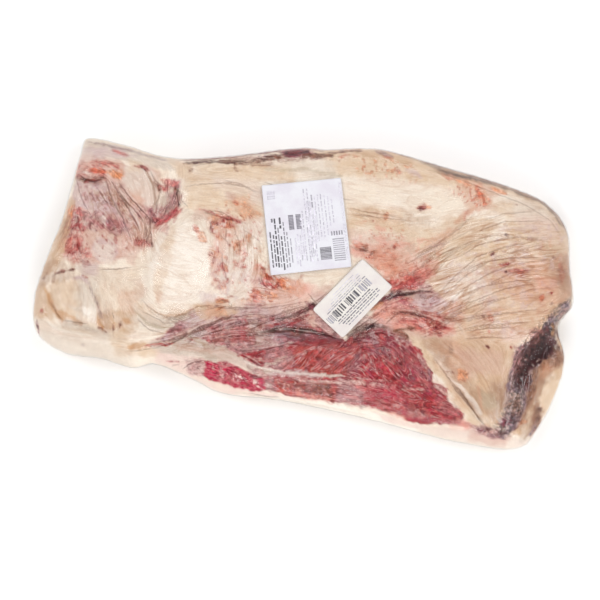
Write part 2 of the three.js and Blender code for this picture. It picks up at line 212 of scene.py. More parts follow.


# The colours of the meat, region by region. In a region each entry lies over the ones before it. Dark
# strokes along the creases and folds are juice with painted shade in them.
BACK_LEFT_CORNER = [
    area("rosy", 0.85, 6, (-290, 92), (-238, 98), (-226, 88), (-206, 98), (-188, 90), (-181, 60),
         (-178, 0), (-200, -8), (-216, -24), (-262, -36), (-284, -28), (-284, 60)),
    area("silver", 0.7, 4, (-296, 96), (-294, 124), (-168, 124), (-170, 94)),
    area("silver", 0.5, 5, (-292, 76), (-274, 76), (-272, 52), (-292, 50)),
    area("lilac", 0.7, 5, (-288, 106), (-288, 88), (-236, 100), (-220, 104), (-240, 112)),
    area("pale", 0.95, 5, (-228, 90), (-206, 97), (-190, 86), (-184, 52), (-194, 40), (-213, 50),
         (-232, 76)),
    area("lilac", 0.8, 4, (-284, 64), (-248, 64), (-232, 45), (-222, 28), (-246, 28), (-284, 36)),
    area("mauve", 0.25, 5, (-250, 72), (-228, 68), (-206, 48), (-194, 34), (-198, 14), (-218, 22),
         (-240, 46)),
    area("tan", 0.5, 4, (-226, 100), (-210, 98), (-210, 86), (-226, 86)),
    area("mauve", 0.6, 5, (-284, 28), (-262, 30), (-240, 30), (-214, 24), (-206, 14), (-240, 12),
         (-284, 0)),
    area("red", 0.6, 5, (-288, 34), (-268, 30), (-262, 4), (-262, -30), (-284, -26)),
    area("red", 0.4, 5, (-290, 92), (-252, 92), (-246, 72), (-288, 66)),
    area("red", 0.3, 5, (-210, 8), (-196, 6), (-182, 4), (-182, -6), (-206, -10), (-218, -6)),
    area("rosy", 0.6, 5, (-248, 12), (-214, 12), (-190, -6), (-194, -24), (-214, -22), (-240, 0)),
    area("lilac", 0.6, 4, (-248, 0), (-222, 2), (-218, -22), (-240, -26)),
    area("pale", 0.7, 4, (-244, -6), (-224, -6), (-218, -30), (-238, -28)),
    # Painted shade down the left end, which turns from the light.
    area("buff", 0.8, 4, (-302, 44), (-280, 40), (-277, -5), (-283, -48), (-310, -62)),
    area("crease_shade", 0.35, 5, (-312, -36), (-286, -34), (-262, -40), (-262, -52), (-284, -62), (-312, -74)),
    streak("slate", 0.4, 2.2, (-281, 114), (-240, 112), (-205, 108), (-186, 106)),
    streak("red", 0.5, 2.4, (-248, 107), (-230, 105)),
    streak("red", 0.5, 4, (-254, 90), (-238, 87)),
    streak("rust", 0.8, 4, (-268, 79), (-248, 79)),
    streak("orange", 0.8, 5, (-243, 79), (-229, 79)),
    streak("black", 0.85, 2.4, (-284, 69)),
    streak("blood", 0.6, 4, (-280, 68), (-264, 66), (-250, 68)),
    streak("bright", 0.5, 1.4, (-277, 74), (-266, 74)),
    box("rosy", 0.5, 4, -286, -266, 84, 98),
    streak("brown", 0.8, 2.6, (-280, 65), (-262, 67), (-249, 71)),
    streak("blood", 0.5, 2.4, (-272, 64), (-256, 66)),
    streak("pale", 0.6, 1.4, (-244, 70), (-230, 50), (-218, 36), (-207, 20), (-196, 4)),
    streak("pale", 0.6, 1.4, (-236, 68), (-219, 46), (-205, 30), (-194, 12)),
    streak("pale", 0.5, 1.2, (-252, 70), (-238, 50), (-226, 36), (-216, 20), (-206, 6)),
    streak("crease_shade", 0.7, 1.3, (-207, 93), (-192, 75), (-186, 55), (-187, 40)),
    streak("blood", 0.65, 2, (-219, 91), (-209, 93), (-201, 90)),
    streak("dark", 0.5, 1.4, (-212, 94), (-205, 89)),
    streak("plum", 0.8, 5, (-187, 42), (-181, 32)),
    streak("red", 0.6, 3.6, (-199, 1), (-184, 0)),
    streak("dark", 0.6, 1.6, (-181, 4), (-180, -2)),
    streak("silver", 0.7, 5, (-176, 62), (-174, 52)),
    streak("rust", 0.5, 5, (-182, 80), (-166, 78)),
    streak("red", 0.7, 3.4, (-184, 72), (-174, 68)),
    streak("brown", 0.4, 2, (-190, 76), (-180, 64)),
    # The pocket beside the knob: dark juice with painted shade in its hollow.
    streak("brown", 0.8, 3, (-165, 76), (-165, 56)),
    streak("black", 0.7, 2, (-165, 58), (-158, 52)),
    streak("brown", 0.35, 6, (-176, 60), (-180, 44)),
    streak("red", 0.8, 7, (-158, 48), (-168, 38), (-180, 28)),
    streak("crimson", 0.5, 5, (-162, 46), (-172, 36), (-180, 30)),
    area("tan", 0.6, 4, (-184, 108), (-152, 106), (-150, 84), (-166, 88)),
    area("mauve", 0.6, 4, (-180, 80), (-173, 84), (-161, 84), (-160, 72), (-176, 70)),
    area("red", 0.4, 4, (-176, 80), (-162, 82), (-162, 74), (-174, 72)),
    area("greyfat", 0.9, 4, (-185, 64), (-168, 69), (-164, 54), (-175, 41), (-185, 38)),
    streak("mauve", 0.6, 3, (-166, 66), (-170, 50), (-180, 42)),
    area("mauve", 0.6, 4, (-192, 40), (-182, 40), (-178, 26), (-190, 24)),
    streak("brown", 0.4, 3, (-154, 97), (-150, 96)),
    streak("blood", 0.45, 3, (-241, 27), (-228, 24), (-216, 20)),
    streak("blood", 0.35, 3, (-243, 20), (-232, 12)),
    streak("dark", 0.65, 3, (-277, 24), (-270, 16)),
    streak("blood", 0.6, 5, (-272, 12), (-270, 4)),
    streak("blood", 0.5, 6, (-270, -8), (-264, -26)),
    streak("red", 0.5, 4, (-256, -14), (-246, -22)),
    area("red", 0.4, 4, (-266, -14), (-252, -14), (-248, -32), (-264, -34)),
    area("salmon", 0.45, 4, (-280, -2), (-266, -2), (-268, -18), (-280, -18)),
    area("mauve", 0.4, 5, (-246, 32), (-222, 30), (-206, 16), (-222, 6), (-242, 12)),
    area("plum", 0.3, 4, (-240, 28), (-226, 26), (-228, 16), (-240, 16)),
    area("salmon", 0.3, 4, (-214, 58), (-198, 56), (-196, 42), (-210, 44)),
    streak("plum", 0.45, 3.4, (-258, -28), (-248, -36)),
    streak("orange", 0.6, 4, (-282, 32), (-280, 22)),
    flecks("pale", 0.5, 5, 0.35, (-284, 64), (-236, 64), (-196, 0), (-214, -20), (-262, -34), (-282, -26)),
    flecks("mauve", 0.5, 4, 0.3, (-284, 64), (-240, 60), (-210, 30), (-230, 8), (-280, 10)),
    flecks("blood", 0.4, 4, 0.25, (-282, 20), (-214, 26), (-190, -4), (-222, -16), (-262, -34),
           (-280, -26)),
    flecks("red", 0.35, 5, 0.3, (-290, 98), (-252, 96), (-246, 74), (-290, 70)),
    area("peach", 0.4, 5, (-222, 62), (-204, 62), (-198, 46), (-214, 44)),
    area("mauve", 0.35, 5, (-208, 48), (-186, 46), (-186, 28), (-204, 28)),
    area("mauve", 0.35, 4, (-186, 52), (-170, 48), (-168, 34), (-184, 34)),
    area("mauve", 0.4, 4, (-176, 66), (-158, 66), (-158, 50), (-174, 50)),
    area("red", 0.35, 4, (-184, 34), (-166, 34), (-166, 18), (-182, 18)),
    box("mauve", 0.3, 5, -230, -206, 8, 26),
    box("brown", 0.2, 5, -292, -274, -6, 16),
    area("pale", 0.45, 4, (-290, 104), (-268, 102), (-268, 90), (-290, 88)),
]

LEFT_END = [
    area("greyfat", 0.75, 6, (-262, -28), (-235, -33), (-222, -45), (-240, -60), (-256, -48)),
    area("lilac", 0.6, 5, (-262, -26), (-240, -30), (-236, -44), (-252, -48)),
    area("greyfat", 0.75, 6, (-262, -50), (-236, -52), (-226, -76), (-240, -90), (-252, -84)),
    area("tan", 0.7, 7, (-286, -56), (-262, -54), (-250, -80), (-252, -100), (-272, -98), (-288, -78)),
    area("tan", 0.35, 10, (-238, -36), (-188, -32), (-188, -85), (-222, -92)),
    area("greyfat", 0.45, 5, (-308, -104), (-260, -106), (-206, -106), (-206, -126), (-210, -150),
         (-290, -150)),
    area("tan", 0.8, 5, (-208, -104), (-184, -100), (-180, -128), (-200, -134)),
    area("peach", 0.35, 6, (-206, -60), (-188, -56), (-186, -80), (-202, -84)),
    area("buff", 0.6, 6, (-222, -84), (-196, -80), (-180, -90), (-182, -104), (-218, -104)),
    # Painted shade down the left end, which turns from the light.
    area("buff", 0.7, 5, (-312, -62), (-292, -62), (-278, -88), (-276, -104), (-312, -106)),
    area("tan", 0.6, 6, (-186, -110), (-150, -116), (-150, -128), (-186, -130)),
    streak("dark", 0.8, 2.6, (-295, -52), (-293, -50)),
    streak("brown", 0.65, 2.4, (-300, -58), (-296, -56)),
    streak("blood", 0.5, 2.4, (-282, -48), (-274, -45)),
    streak("black", 0.75, 1.4, (-285, -51), (-279, -47), (-273, -46)),
    streak("dark", 0.8, 2, (-270, -44), (-263, -42)),
    streak("brown", 0.6, 1.6, (-283, -52), (-284, -60)),
    streak("red", 0.5, 2, (-293, -94), (-290, -97)),
    streak("blood", 0.6, 1.6, (-252, -48), (-247, -50)),
    streak("lilac", 0.8, 1.8, (-262, -52), (-254, -50), (-244, -56)),
    streak("greyfat", 0.9, 1.8, (-258, -84), (-248, -88), (-236, -94)),
    streak("slate", 0.3, 1.4, (-250, -48), (-238, -62), (-228, -78), (-218, -92)),
    streak("bright", 0.8, 4, (-246, -84), (-234, -92)),
    streak("ochre", 0.8, 2, (-293, -68), (-286, -80), (-276, -92), (-266, -102)),
    streak("ochre", 0.6, 3.4, (-270, -94), (-258, -98), (-246, -101)),
    streak("ochre", 0.8, 4.5, (-222, -92), (-217, -104)),
    streak("ochre", 0.5, 4, (-210, -92), (-204, -102)),
    streak("brown", 0.65, 2, (-222, -103), (-214, -107)),
    streak("brown", 0.7, 1.3, (-207, -98), (-206, -105)),
    streak("brown", 0.6, 1.3, (-200, -93), (-199, -100)),
    streak("ochre", 0.6, 3, (-198, -89), (-189, -92)),
    streak("slate", 0.3, 3, (-238, -128), (-233, -129)),
    streak("dark", 0.65, 1.8, (-297, -112), (-294, -118)),
    streak("plum", 0.45, 2.2, (-296, -106), (-293, -122)),
    streak("ochre", 0.7, 3.6, (-184, -120), (-168, -118)),
    streak("red", 0.55, 1.8, (-168, -119), (-145, -112)),
    area("silver", 0.35, 5, (-296, -118), (-250, -120), (-180, -122), (-176, -150), (-240, -150),
         (-300, -136)),
]

KNOB_AND_BACK_EDGE = [
    area("bright", 0.7, 10, (-172, 20), (-140, 36), (-112, 8), (-105, -20), (-110, -52), (-140, -68),
         (-168, -62), (-178, -20)),
    area("greyfat", 0.55, 7, (-192, -48), (-178, -50), (-164, -74), (-128, -76), (-108, -62), (-118, -80),
         (-160, -96), (-192, -92)),
    area("tan", 0.7, 8, (-155, 88), (-100, 94), (-66, 84), (-60, 54), (-96, 46), (-150, 52)),
    area("tan", 0.75, 8, (-150, 108), (-60, 120), (-40, 130), (-30, 100), (-140, 94)),
    area("greyfat", 0.6, 6, (-40, 130), (10, 134), (14, 112), (-40, 112)),
    area("tan", 0.5, 7, (-140, 100), (-76, 104), (-70, 84), (-120, 84)),
    area("crease_shade", 0.3, 4, (-100, 114), (-60, 122), (-24, 132), (-24, 126), (-70, 112)),
    streak("tan", 0.6, 8, (-160, 24), (-164, -20), (-162, -60)),
    streak("peach", 0.35, 6, (-162, -54), (-156, -64)),
    streak("peach", 0.3, 7, (-186, -46), (-186, -62)),
    streak("ochre", 0.6, 1.4, (-165, -76), (-150, -80), (-132, -74), (-115, -61), (-92, -56), (-76, -54)),
    streak("olive_shade", 0.6, 1.4, (-186, -78), (-168, -90), (-150, -92), (-136, -86)),
    streak("lilac", 0.4, 5, (-106, 76), (-98, 70)),
    streak("brown", 0.45, 1.4, (-104, 109), (-98, 105)),
    # Along the back rim: dark lean, with painted shade where the rim turns from the light.
    streak("olive_shade", 0.5, 2.2, (-66, 112), (-20, 118), (20, 119)),
    streak("olive_shade", 0.8, 3, (-160, 106), (-120, 114), (-96, 119)),
    streak("dark", 0.6, 1.8, (-164, 105), (-140, 110), (-112, 114)),
    streak("brown", 0.75, 2.6, (-122, 113), (-96, 115), (-60, 120)),
    streak("plum", 0.5, 4, (-112, 118), (-84, 123), (-66, 128)),
    streak("dark", 0.85, 2.6, (-112, 113), (-84, 120), (-64, 126), (-50, 132)),
    streak("brown", 0.8, 5, (-66, 126), (-40, 132), (-16, 136)),
    streak("plum", 0.85, 7, (-50, 137), (-18, 141)),
    streak("black", 0.75, 3.4, (-46, 137), (-30, 141), (-18, 139)),
    streak("blood", 0.4, 2, (-44, 138), (-30, 141)),
    streak("brown", 0.75, 4, (-30, 133), (-10, 137), (6, 142)),
    streak("brown", 0.7, 2, (0, 144), (20, 149), (40, 153)),
    streak("slate", 0.5, 3, (58, 154), (76, 152)),
    streak("shadow", 0.5, 2, (110, 150), (136, 147)),
    streak("shadow", 0.8, 2.6, (130, 145), (170, 139), (205, 134)),
    streak("shadow", 0.7, 2, (205, 134), (240, 129), (262, 120), (282, 100)),
    box("bright", 0.5, 6, -176, -156, -26, -4),
    box("pale", 0.4, 5, -120, -102, 38, 54),
    box("rosy", 0.5, 5, -140, -122, 38, 54),
    box("rosy", 0.3, 5, -80, -60, 32, 52),
    box("buff", 0.3, 6, -162, -138, 86, 102),
    area("tan", 0.4, 5, (-116, 128), (-66, 124), (-66, 112), (-116, 114)),
    box("fat", 0.4, 5, -54, -30, 120, 132),
    box("fat", 0.3, 5, -96, -76, -8, 12),
    area("pale", 0.5, 5, (-76, 84), (-56, 82), (-56, 66), (-76, 66)),
    flecks("red", 0.45, 2.4, 0.16, (-112, 58), (-80, 56), (-64, 30), (-76, 4), (-108, 20)),
    flecks("rust", 0.4, 2.6, 0.2, (-106, -4), (-72, 6), (-58, -16), (-84, -34), (-102, -28)),
]

STAINED_PAD = [
    area("pale", 0.6, 8, (-120, 46), (-60, 42), (-56, 0), (-10, -10), (-4, -38), (-50, -54), (-92, -52),
         (-108, -10)),
    area("salmon", 0.5, 8, (-60, -6), (-46, -12), (-12, -20), (10, -28), (8, -44), (-24, -50), (-60, -50)),
    area("salmon", 0.35, 6, (-114, 46), (-98, 44), (-94, 10), (-100, -36), (-110, -10)),
    area("peach", 0.5, 7, (-124, 50), (-104, 48), (-84, 46), (-84, 24), (-108, 20), (-120, 30)),
    area("peach", 0.35, 8, (-104, 76), (-84, 78), (-64, 58), (-80, 48), (-100, 58)),
    streak("rust", 0.45, 3, (-94, 67), (-92, 62)),
    area("orange", 0.3, 7, (-94, 72), (-80, 74), (-66, 56), (-84, 48)),
    streak("red", 0.6, 1.6, (-134, 52), (-120, 50), (-108, 46), (-96, 46), (-84, 42)),
    streak("blood", 0.7, 2, (-106, 43), (-96, 45)),
    streak("red", 0.5, 3, (-112, 40), (-92, 38)),
    streak("plum", 0.8, 2.2, (-119, 38), (-110, 38)),
    streak("blood", 0.65, 2.4, (-116, 36), (-115, 27)),
    streak("rust", 0.55, 2.6, (-136, 31), (-130, 22)),
    streak("orange", 0.5, 4, (-128, 24), (-122, 16)),
    streak("orange", 0.5, 6, (-88, 18), (-76, 10)),
    streak("mauve", 0.3, 3, (-112, 4), (-106, -6)),
    streak("red", 0.6, 2.2, (-99, -9), (-92, -18), (-88, -28)),
    streak("red", 0.6, 4, (-82, -4), (-70, -8)),
    streak("lilac", 0.35, 7, (-76, -18), (-60, -22)),
    streak("lilac", 0.5, 5, (-90, -34), (-86, -40)),
    streak("rust", 0.6, 5, (-57, -3), (-50, -9)),
    streak("rust", 0.7, 5, (-48, -12), (-38, -17)),
    streak("blood", 0.85, 3.4, (-48, -25), (-36, -22)),
    streak("blood", 0.7, 3, (-29, -17), (-25, -27)),
    streak("red", 0.8, 6, (-44, -20), (-26, -22)),
    streak("rust", 0.75, 6, (-60, -36), (-46, -44)),
    streak("red", 0.5, 4, (-56, -40), (-48, -46)),
    streak("orange", 0.75, 7, (-28, -18), (-10, -32)),
    streak("orange", 0.5, 5, (-44, -34), (-30, -40)),
    area("salmon", 0.45, 5, (-10, -14), (12, -14), (26, -26), (22, -38), (4, -32)),
    area("rosy", 0.6, 6, (10, -20), (30, -12), (34, -24), (24, -44), (10, -44)),
    box("salmon", 0.4, 4, -18, 0, -34, -18),
    area("pale", 0.45, 5, (-66, 0), (-48, 0), (-50, -20), (-64, -20)),
    area("pale", 0.5, 5, (-50, -44), (-30, -42), (-28, -54), (-48, -56)),
    area("lilac", 0.5, 5, (-114, -44), (-98, -42), (-96, -56), (-112, -58)),
    box("pale", 0.5, 6, -78, -60, 72, 86),
    area("lilac", 0.4, 5, (8, -26), (26, -26), (26, -42), (10, -44)),
    area("mauve", 0.75, 5, (-55, -69), (-34, -48), (-14, -44), (10, -37), (28, -53), (52, -72), (3, -77),
         (-34, -80)),
    area("red", 0.5, 4, (2, -50), (16, -44), (26, -56), (46, -72), (20, -72), (2, -66)),
    area("plum", 0.4, 4, (-24, -60), (4, -50), (12, -60), (-4, -70), (-24, -70)),
    flecks("pinkfat", 0.6, 3, 0.3, (-50, -66), (-10, -46), (12, -38), (30, -56), (50, -72), (0, -76)),
    box("salmon", 0.35, 5, -18, 4, -28, -14),
    box("pale", 0.4, 6, -98, -76, -10, 12),
    area("salmon", 0.3, 5, (-112, 52), (-98, 50), (-100, 40), (-112, 42)),
    area("pale", 0.5, 6, (-124, 92), (-76, 96), (-64, 82), (-80, 76), (-120, 80)),
    streak("rust", 0.55, 3, (-98, -51), (-84, -51)),
    streak("brown", 0.65, 1.3, (-96, -54), (-85, -50), (-80, -52)),
    streak("bright", 0.45, 2.4, (-62, 30), (-66, -6), (-62, -40)),
    flecks("red", 0.4, 5, 0.2, (-124, 56), (-62, 52), (-56, 6), (-6, -8), (-4, -40), (-50, -50),
           (-100, -50), (-110, -4)),
    flecks("orange", 0.35, 7, 0.25, (-124, 56), (-58, 88), (-56, 6), (-6, -8), (-4, -40), (-50, -50),
           (-100, -50), (-110, -4)),
    flecks("bright", 0.5, 5, 0.25, (-120, 50), (-60, 46), (-54, 0), (-10, -8), (-4, -40), (-50, -50),
           (-100, -50)),
    flecks("lilac", 0.3, 5, 0.2, (-110, 30), (-60, 20), (-54, -10), (-10, -12), (-4, -44), (-50, -52),
           (-104, -50)),
    box("pale", 0.5, 5, -234, -212, -100, -80),
    area("tan", 0.45, 5, (-172, -114), (-152, -116), (-152, -130), (-172, -130)),
    area("silver", 0.5, 5, (-140, -110), (-116, -112), (-116, -124), (-140, -124)),
    area("tan", 0.4, 5, (-186, -66), (-164, -66), (-162, -82), (-184, -82)),
    box("bright", 0.5, 5, -236, -216, -98, -82),
]

MAUVE_BAND = [
    area("rosy", 0.85, 6, (-166, -114), (-136, -92), (-104, -60), (-60, -50), (-20, -46), (8, -36),
         (20, -60), (0, -90), (-60, -112), (-110, -116)),
    area("mauve", 0.85, 5, (-156, -108), (-134, -84), (-104, -78), (-78, -66), (-40, -62), (-12, -52),
         (0, -44), (8, -50), (10, -66), (54, -76), (30, -84), (0, -90), (-30, -100), (-60, -110),
         (-90, -108), (-110, -98), (-150, -112)),
    area("lilac", 0.7, 5, (-130, -84), (-112, -64), (-102, -72), (-114, -92)),
    area("lilac", 0.5, 6, (-70, -60), (-24, -60), (-16, -48), (-60, -50)),
    area("lilac", 0.5, 5, (-118, -80), (-100, -76), (-66, -66), (-66, -80), (-104, -92)),
    box("lilac", 0.35, 5, -46, -22, -98, -84),
    area("mauve", 0.35, 4, (-126, -66), (-112, -66), (-110, -80), (-124, -80)),
    box("tan", 0.5, 5, -172, -150, -128, -114),
    box("plum", 0.4, 5, -34, -10, -92, -80),
    area("lilac", 0.7, 4, (-90, -58), (-38, -50), (-34, -58), (-80, -68)),
    area("lilac", 0.6, 5, (-146, -102), (-133, -84), (-112, -70), (-104, -79), (-120, -95)),
    area("brick", 0.35, 4, (-109, -86), (-85, -82), (-80, -96), (-102, -100)),
    area("brick", 0.35, 4, (-76, -79), (-54, -76), (-50, -90), (-71, -94)),
    area("dark", 0.45, 4, (6, -66), (26, -68), (54, -76), (34, -78), (6, -74)),
    area("lilac", 0.7, 5, (-134, -92), (-118, -84), (-104, -90), (-108, -106), (-132, -106)),
    area("pale", 0.5, 5, (-138, -94), (-118, -90), (-114, -104), (-136, -106)),
    area("rosy", 0.5, 5, (-92, -70), (-72, -70), (-68, -86), (-86, -86)),
    area("silver", 0.85, 4, (-164, -112), (-132, -102), (-124, -94), (-112, -96), (-78, -104),
         (-58, -110), (-48, -117), (-100, -119), (-160, -122)),
    area("lean", 0.5, 4, (-102, -82), (-90, -80), (-90, -94), (-102, -94)),
    area("lean", 0.65, 4, (-74, -82), (-60, -80), (-54, -92), (-72, -96)),
    area("plum", 0.5, 6, (-42, -72), (-20, -66), (0, -70), (-4, -84), (-30, -90), (-42, -84)),
    area("lean", 0.6, 4, (-18, -60), (0, -46), (6, -52), (2, -64), (-12, -68)),
    area("plum", 0.8, 4, (-34, -72), (-10, -66), (8, -68), (22, -71), (56, -76), (40, -86), (-30, -84)),
    area("rosy", 0.6, 4, (8, -46), (20, -50), (36, -66), (14, -66), (6, -56)),
    area("buff", 0.7, 6, (-126, -62), (-104, -54), (-76, -52), (-70, -62), (-90, -76), (-112, -76)),
    streak("peach", 0.6, 6, (-104, -58), (-92, -74)),
    streak("orange", 0.45, 4, (-96, -54), (-86, -66)),
    streak("brown", 0.6, 1.4, (-99, -80), (-90, -75), (-83, -71), (-74, -66)),
    streak("pale", 0.5, 1.6, (-140, -99), (-122, -92), (-110, -84), (-98, -76), (-84, -70)),
    streak("plum", 0.5, 3, (-145, -100), (-136, -94), (-129, -88)),
    streak("red", 0.6, 2.2, (-166, -117), (-150, -113), (-136, -107)),
    streak("blood", 0.5, 1.4, (-152, -114), (-138, -109)),
    streak("slate", 0.5, 2, (-90, -80), (-60, -72), (-40, -66)),
    streak("blood", 0.6, 1.4, (-34, -97), (-5, -93)),
    streak("lean", 0.7, 3, (-28, -70), (-8, -62), (6, -52)),
    # Along the two creases here: dark lines of juice with painted shade in them.
    streak("dark", 0.85, 1.6, (-30, -64), (-10, -57), (5, -48), (13, -42)),
    streak("dark", 0.85, 3.4, (4, -44), (14, -41)),
    streak("brown", 0.8, 4, (-28, -76), (0, -73), (16, -71)),
    streak("black", 0.85, 1.8, (-42, -80), (-20, -75), (0, -72), (15, -71), (35, -74), (54, -76)),
    streak("black", 0.7, 1.6, (-26, -71), (-10, -73), (6, -75)),
    streak("slate", 0.55, 2, (-34, -83), (-10, -79), (14, -77)),
    streak("pale", 0.4, 1.4, (-6, -88), (28, -82), (58, -80)),
    flecks("lean", 0.45, 6, 0.3, (-150, -100), (-100, -70), (-20, -58), (10, -50), (40, -76), (-20, -92),
           (-100, -106)),
    flecks("lilac", 0.5, 6, 0.3, (-156, -104), (-110, -70), (-40, -58), (-16, -60), (-30, -92),
           (-100, -106)),
    area("rosy", 0.6, 5, (-30, -28), (-8, -28), (-6, -46), (-28, -46)),
    area("peach", 0.4, 5, (-20, -12), (0, -14), (0, -30), (-20, -30)),
    box("mauve", 0.4, 5, -66, -44, -62, -46),
    box("silver", 0.3, 5, -16, 6, -62, -48),
    box("silver", 0.3, 5, -58, -36, -82, -66),
    box("silver", 0.35, 5, -122, -98, -94, -78),
    area("silver", 0.25, 4, (-8, -104), (12, -102), (12, -116), (-8, -116)),
    area("mauve", 0.8, 4, (14, -42), (28, -48), (44, -66), (50, -76), (34, -72), (18, -60)),
    streak("plum", 0.7, 2.4, (2, -38), (8, -42), (16, -48)),
    area("mauve", 0.3, 5, (-124, -88), (-98, -72), (-60, -70), (-62, -84), (-96, -94)),
    area("rosy", 0.4, 5, (-132, -108), (-84, -106), (-46, -112), (-46, -122), (-86, -116), (-132, -118)),
    box("mauve", 0.35, 5, -56, -38, -34, -18),
    box("mauve", 0.35, 4, -138, -122, -98, -84),
    box("silver", 0.35, 4, -46, -26, -94, -78),
]

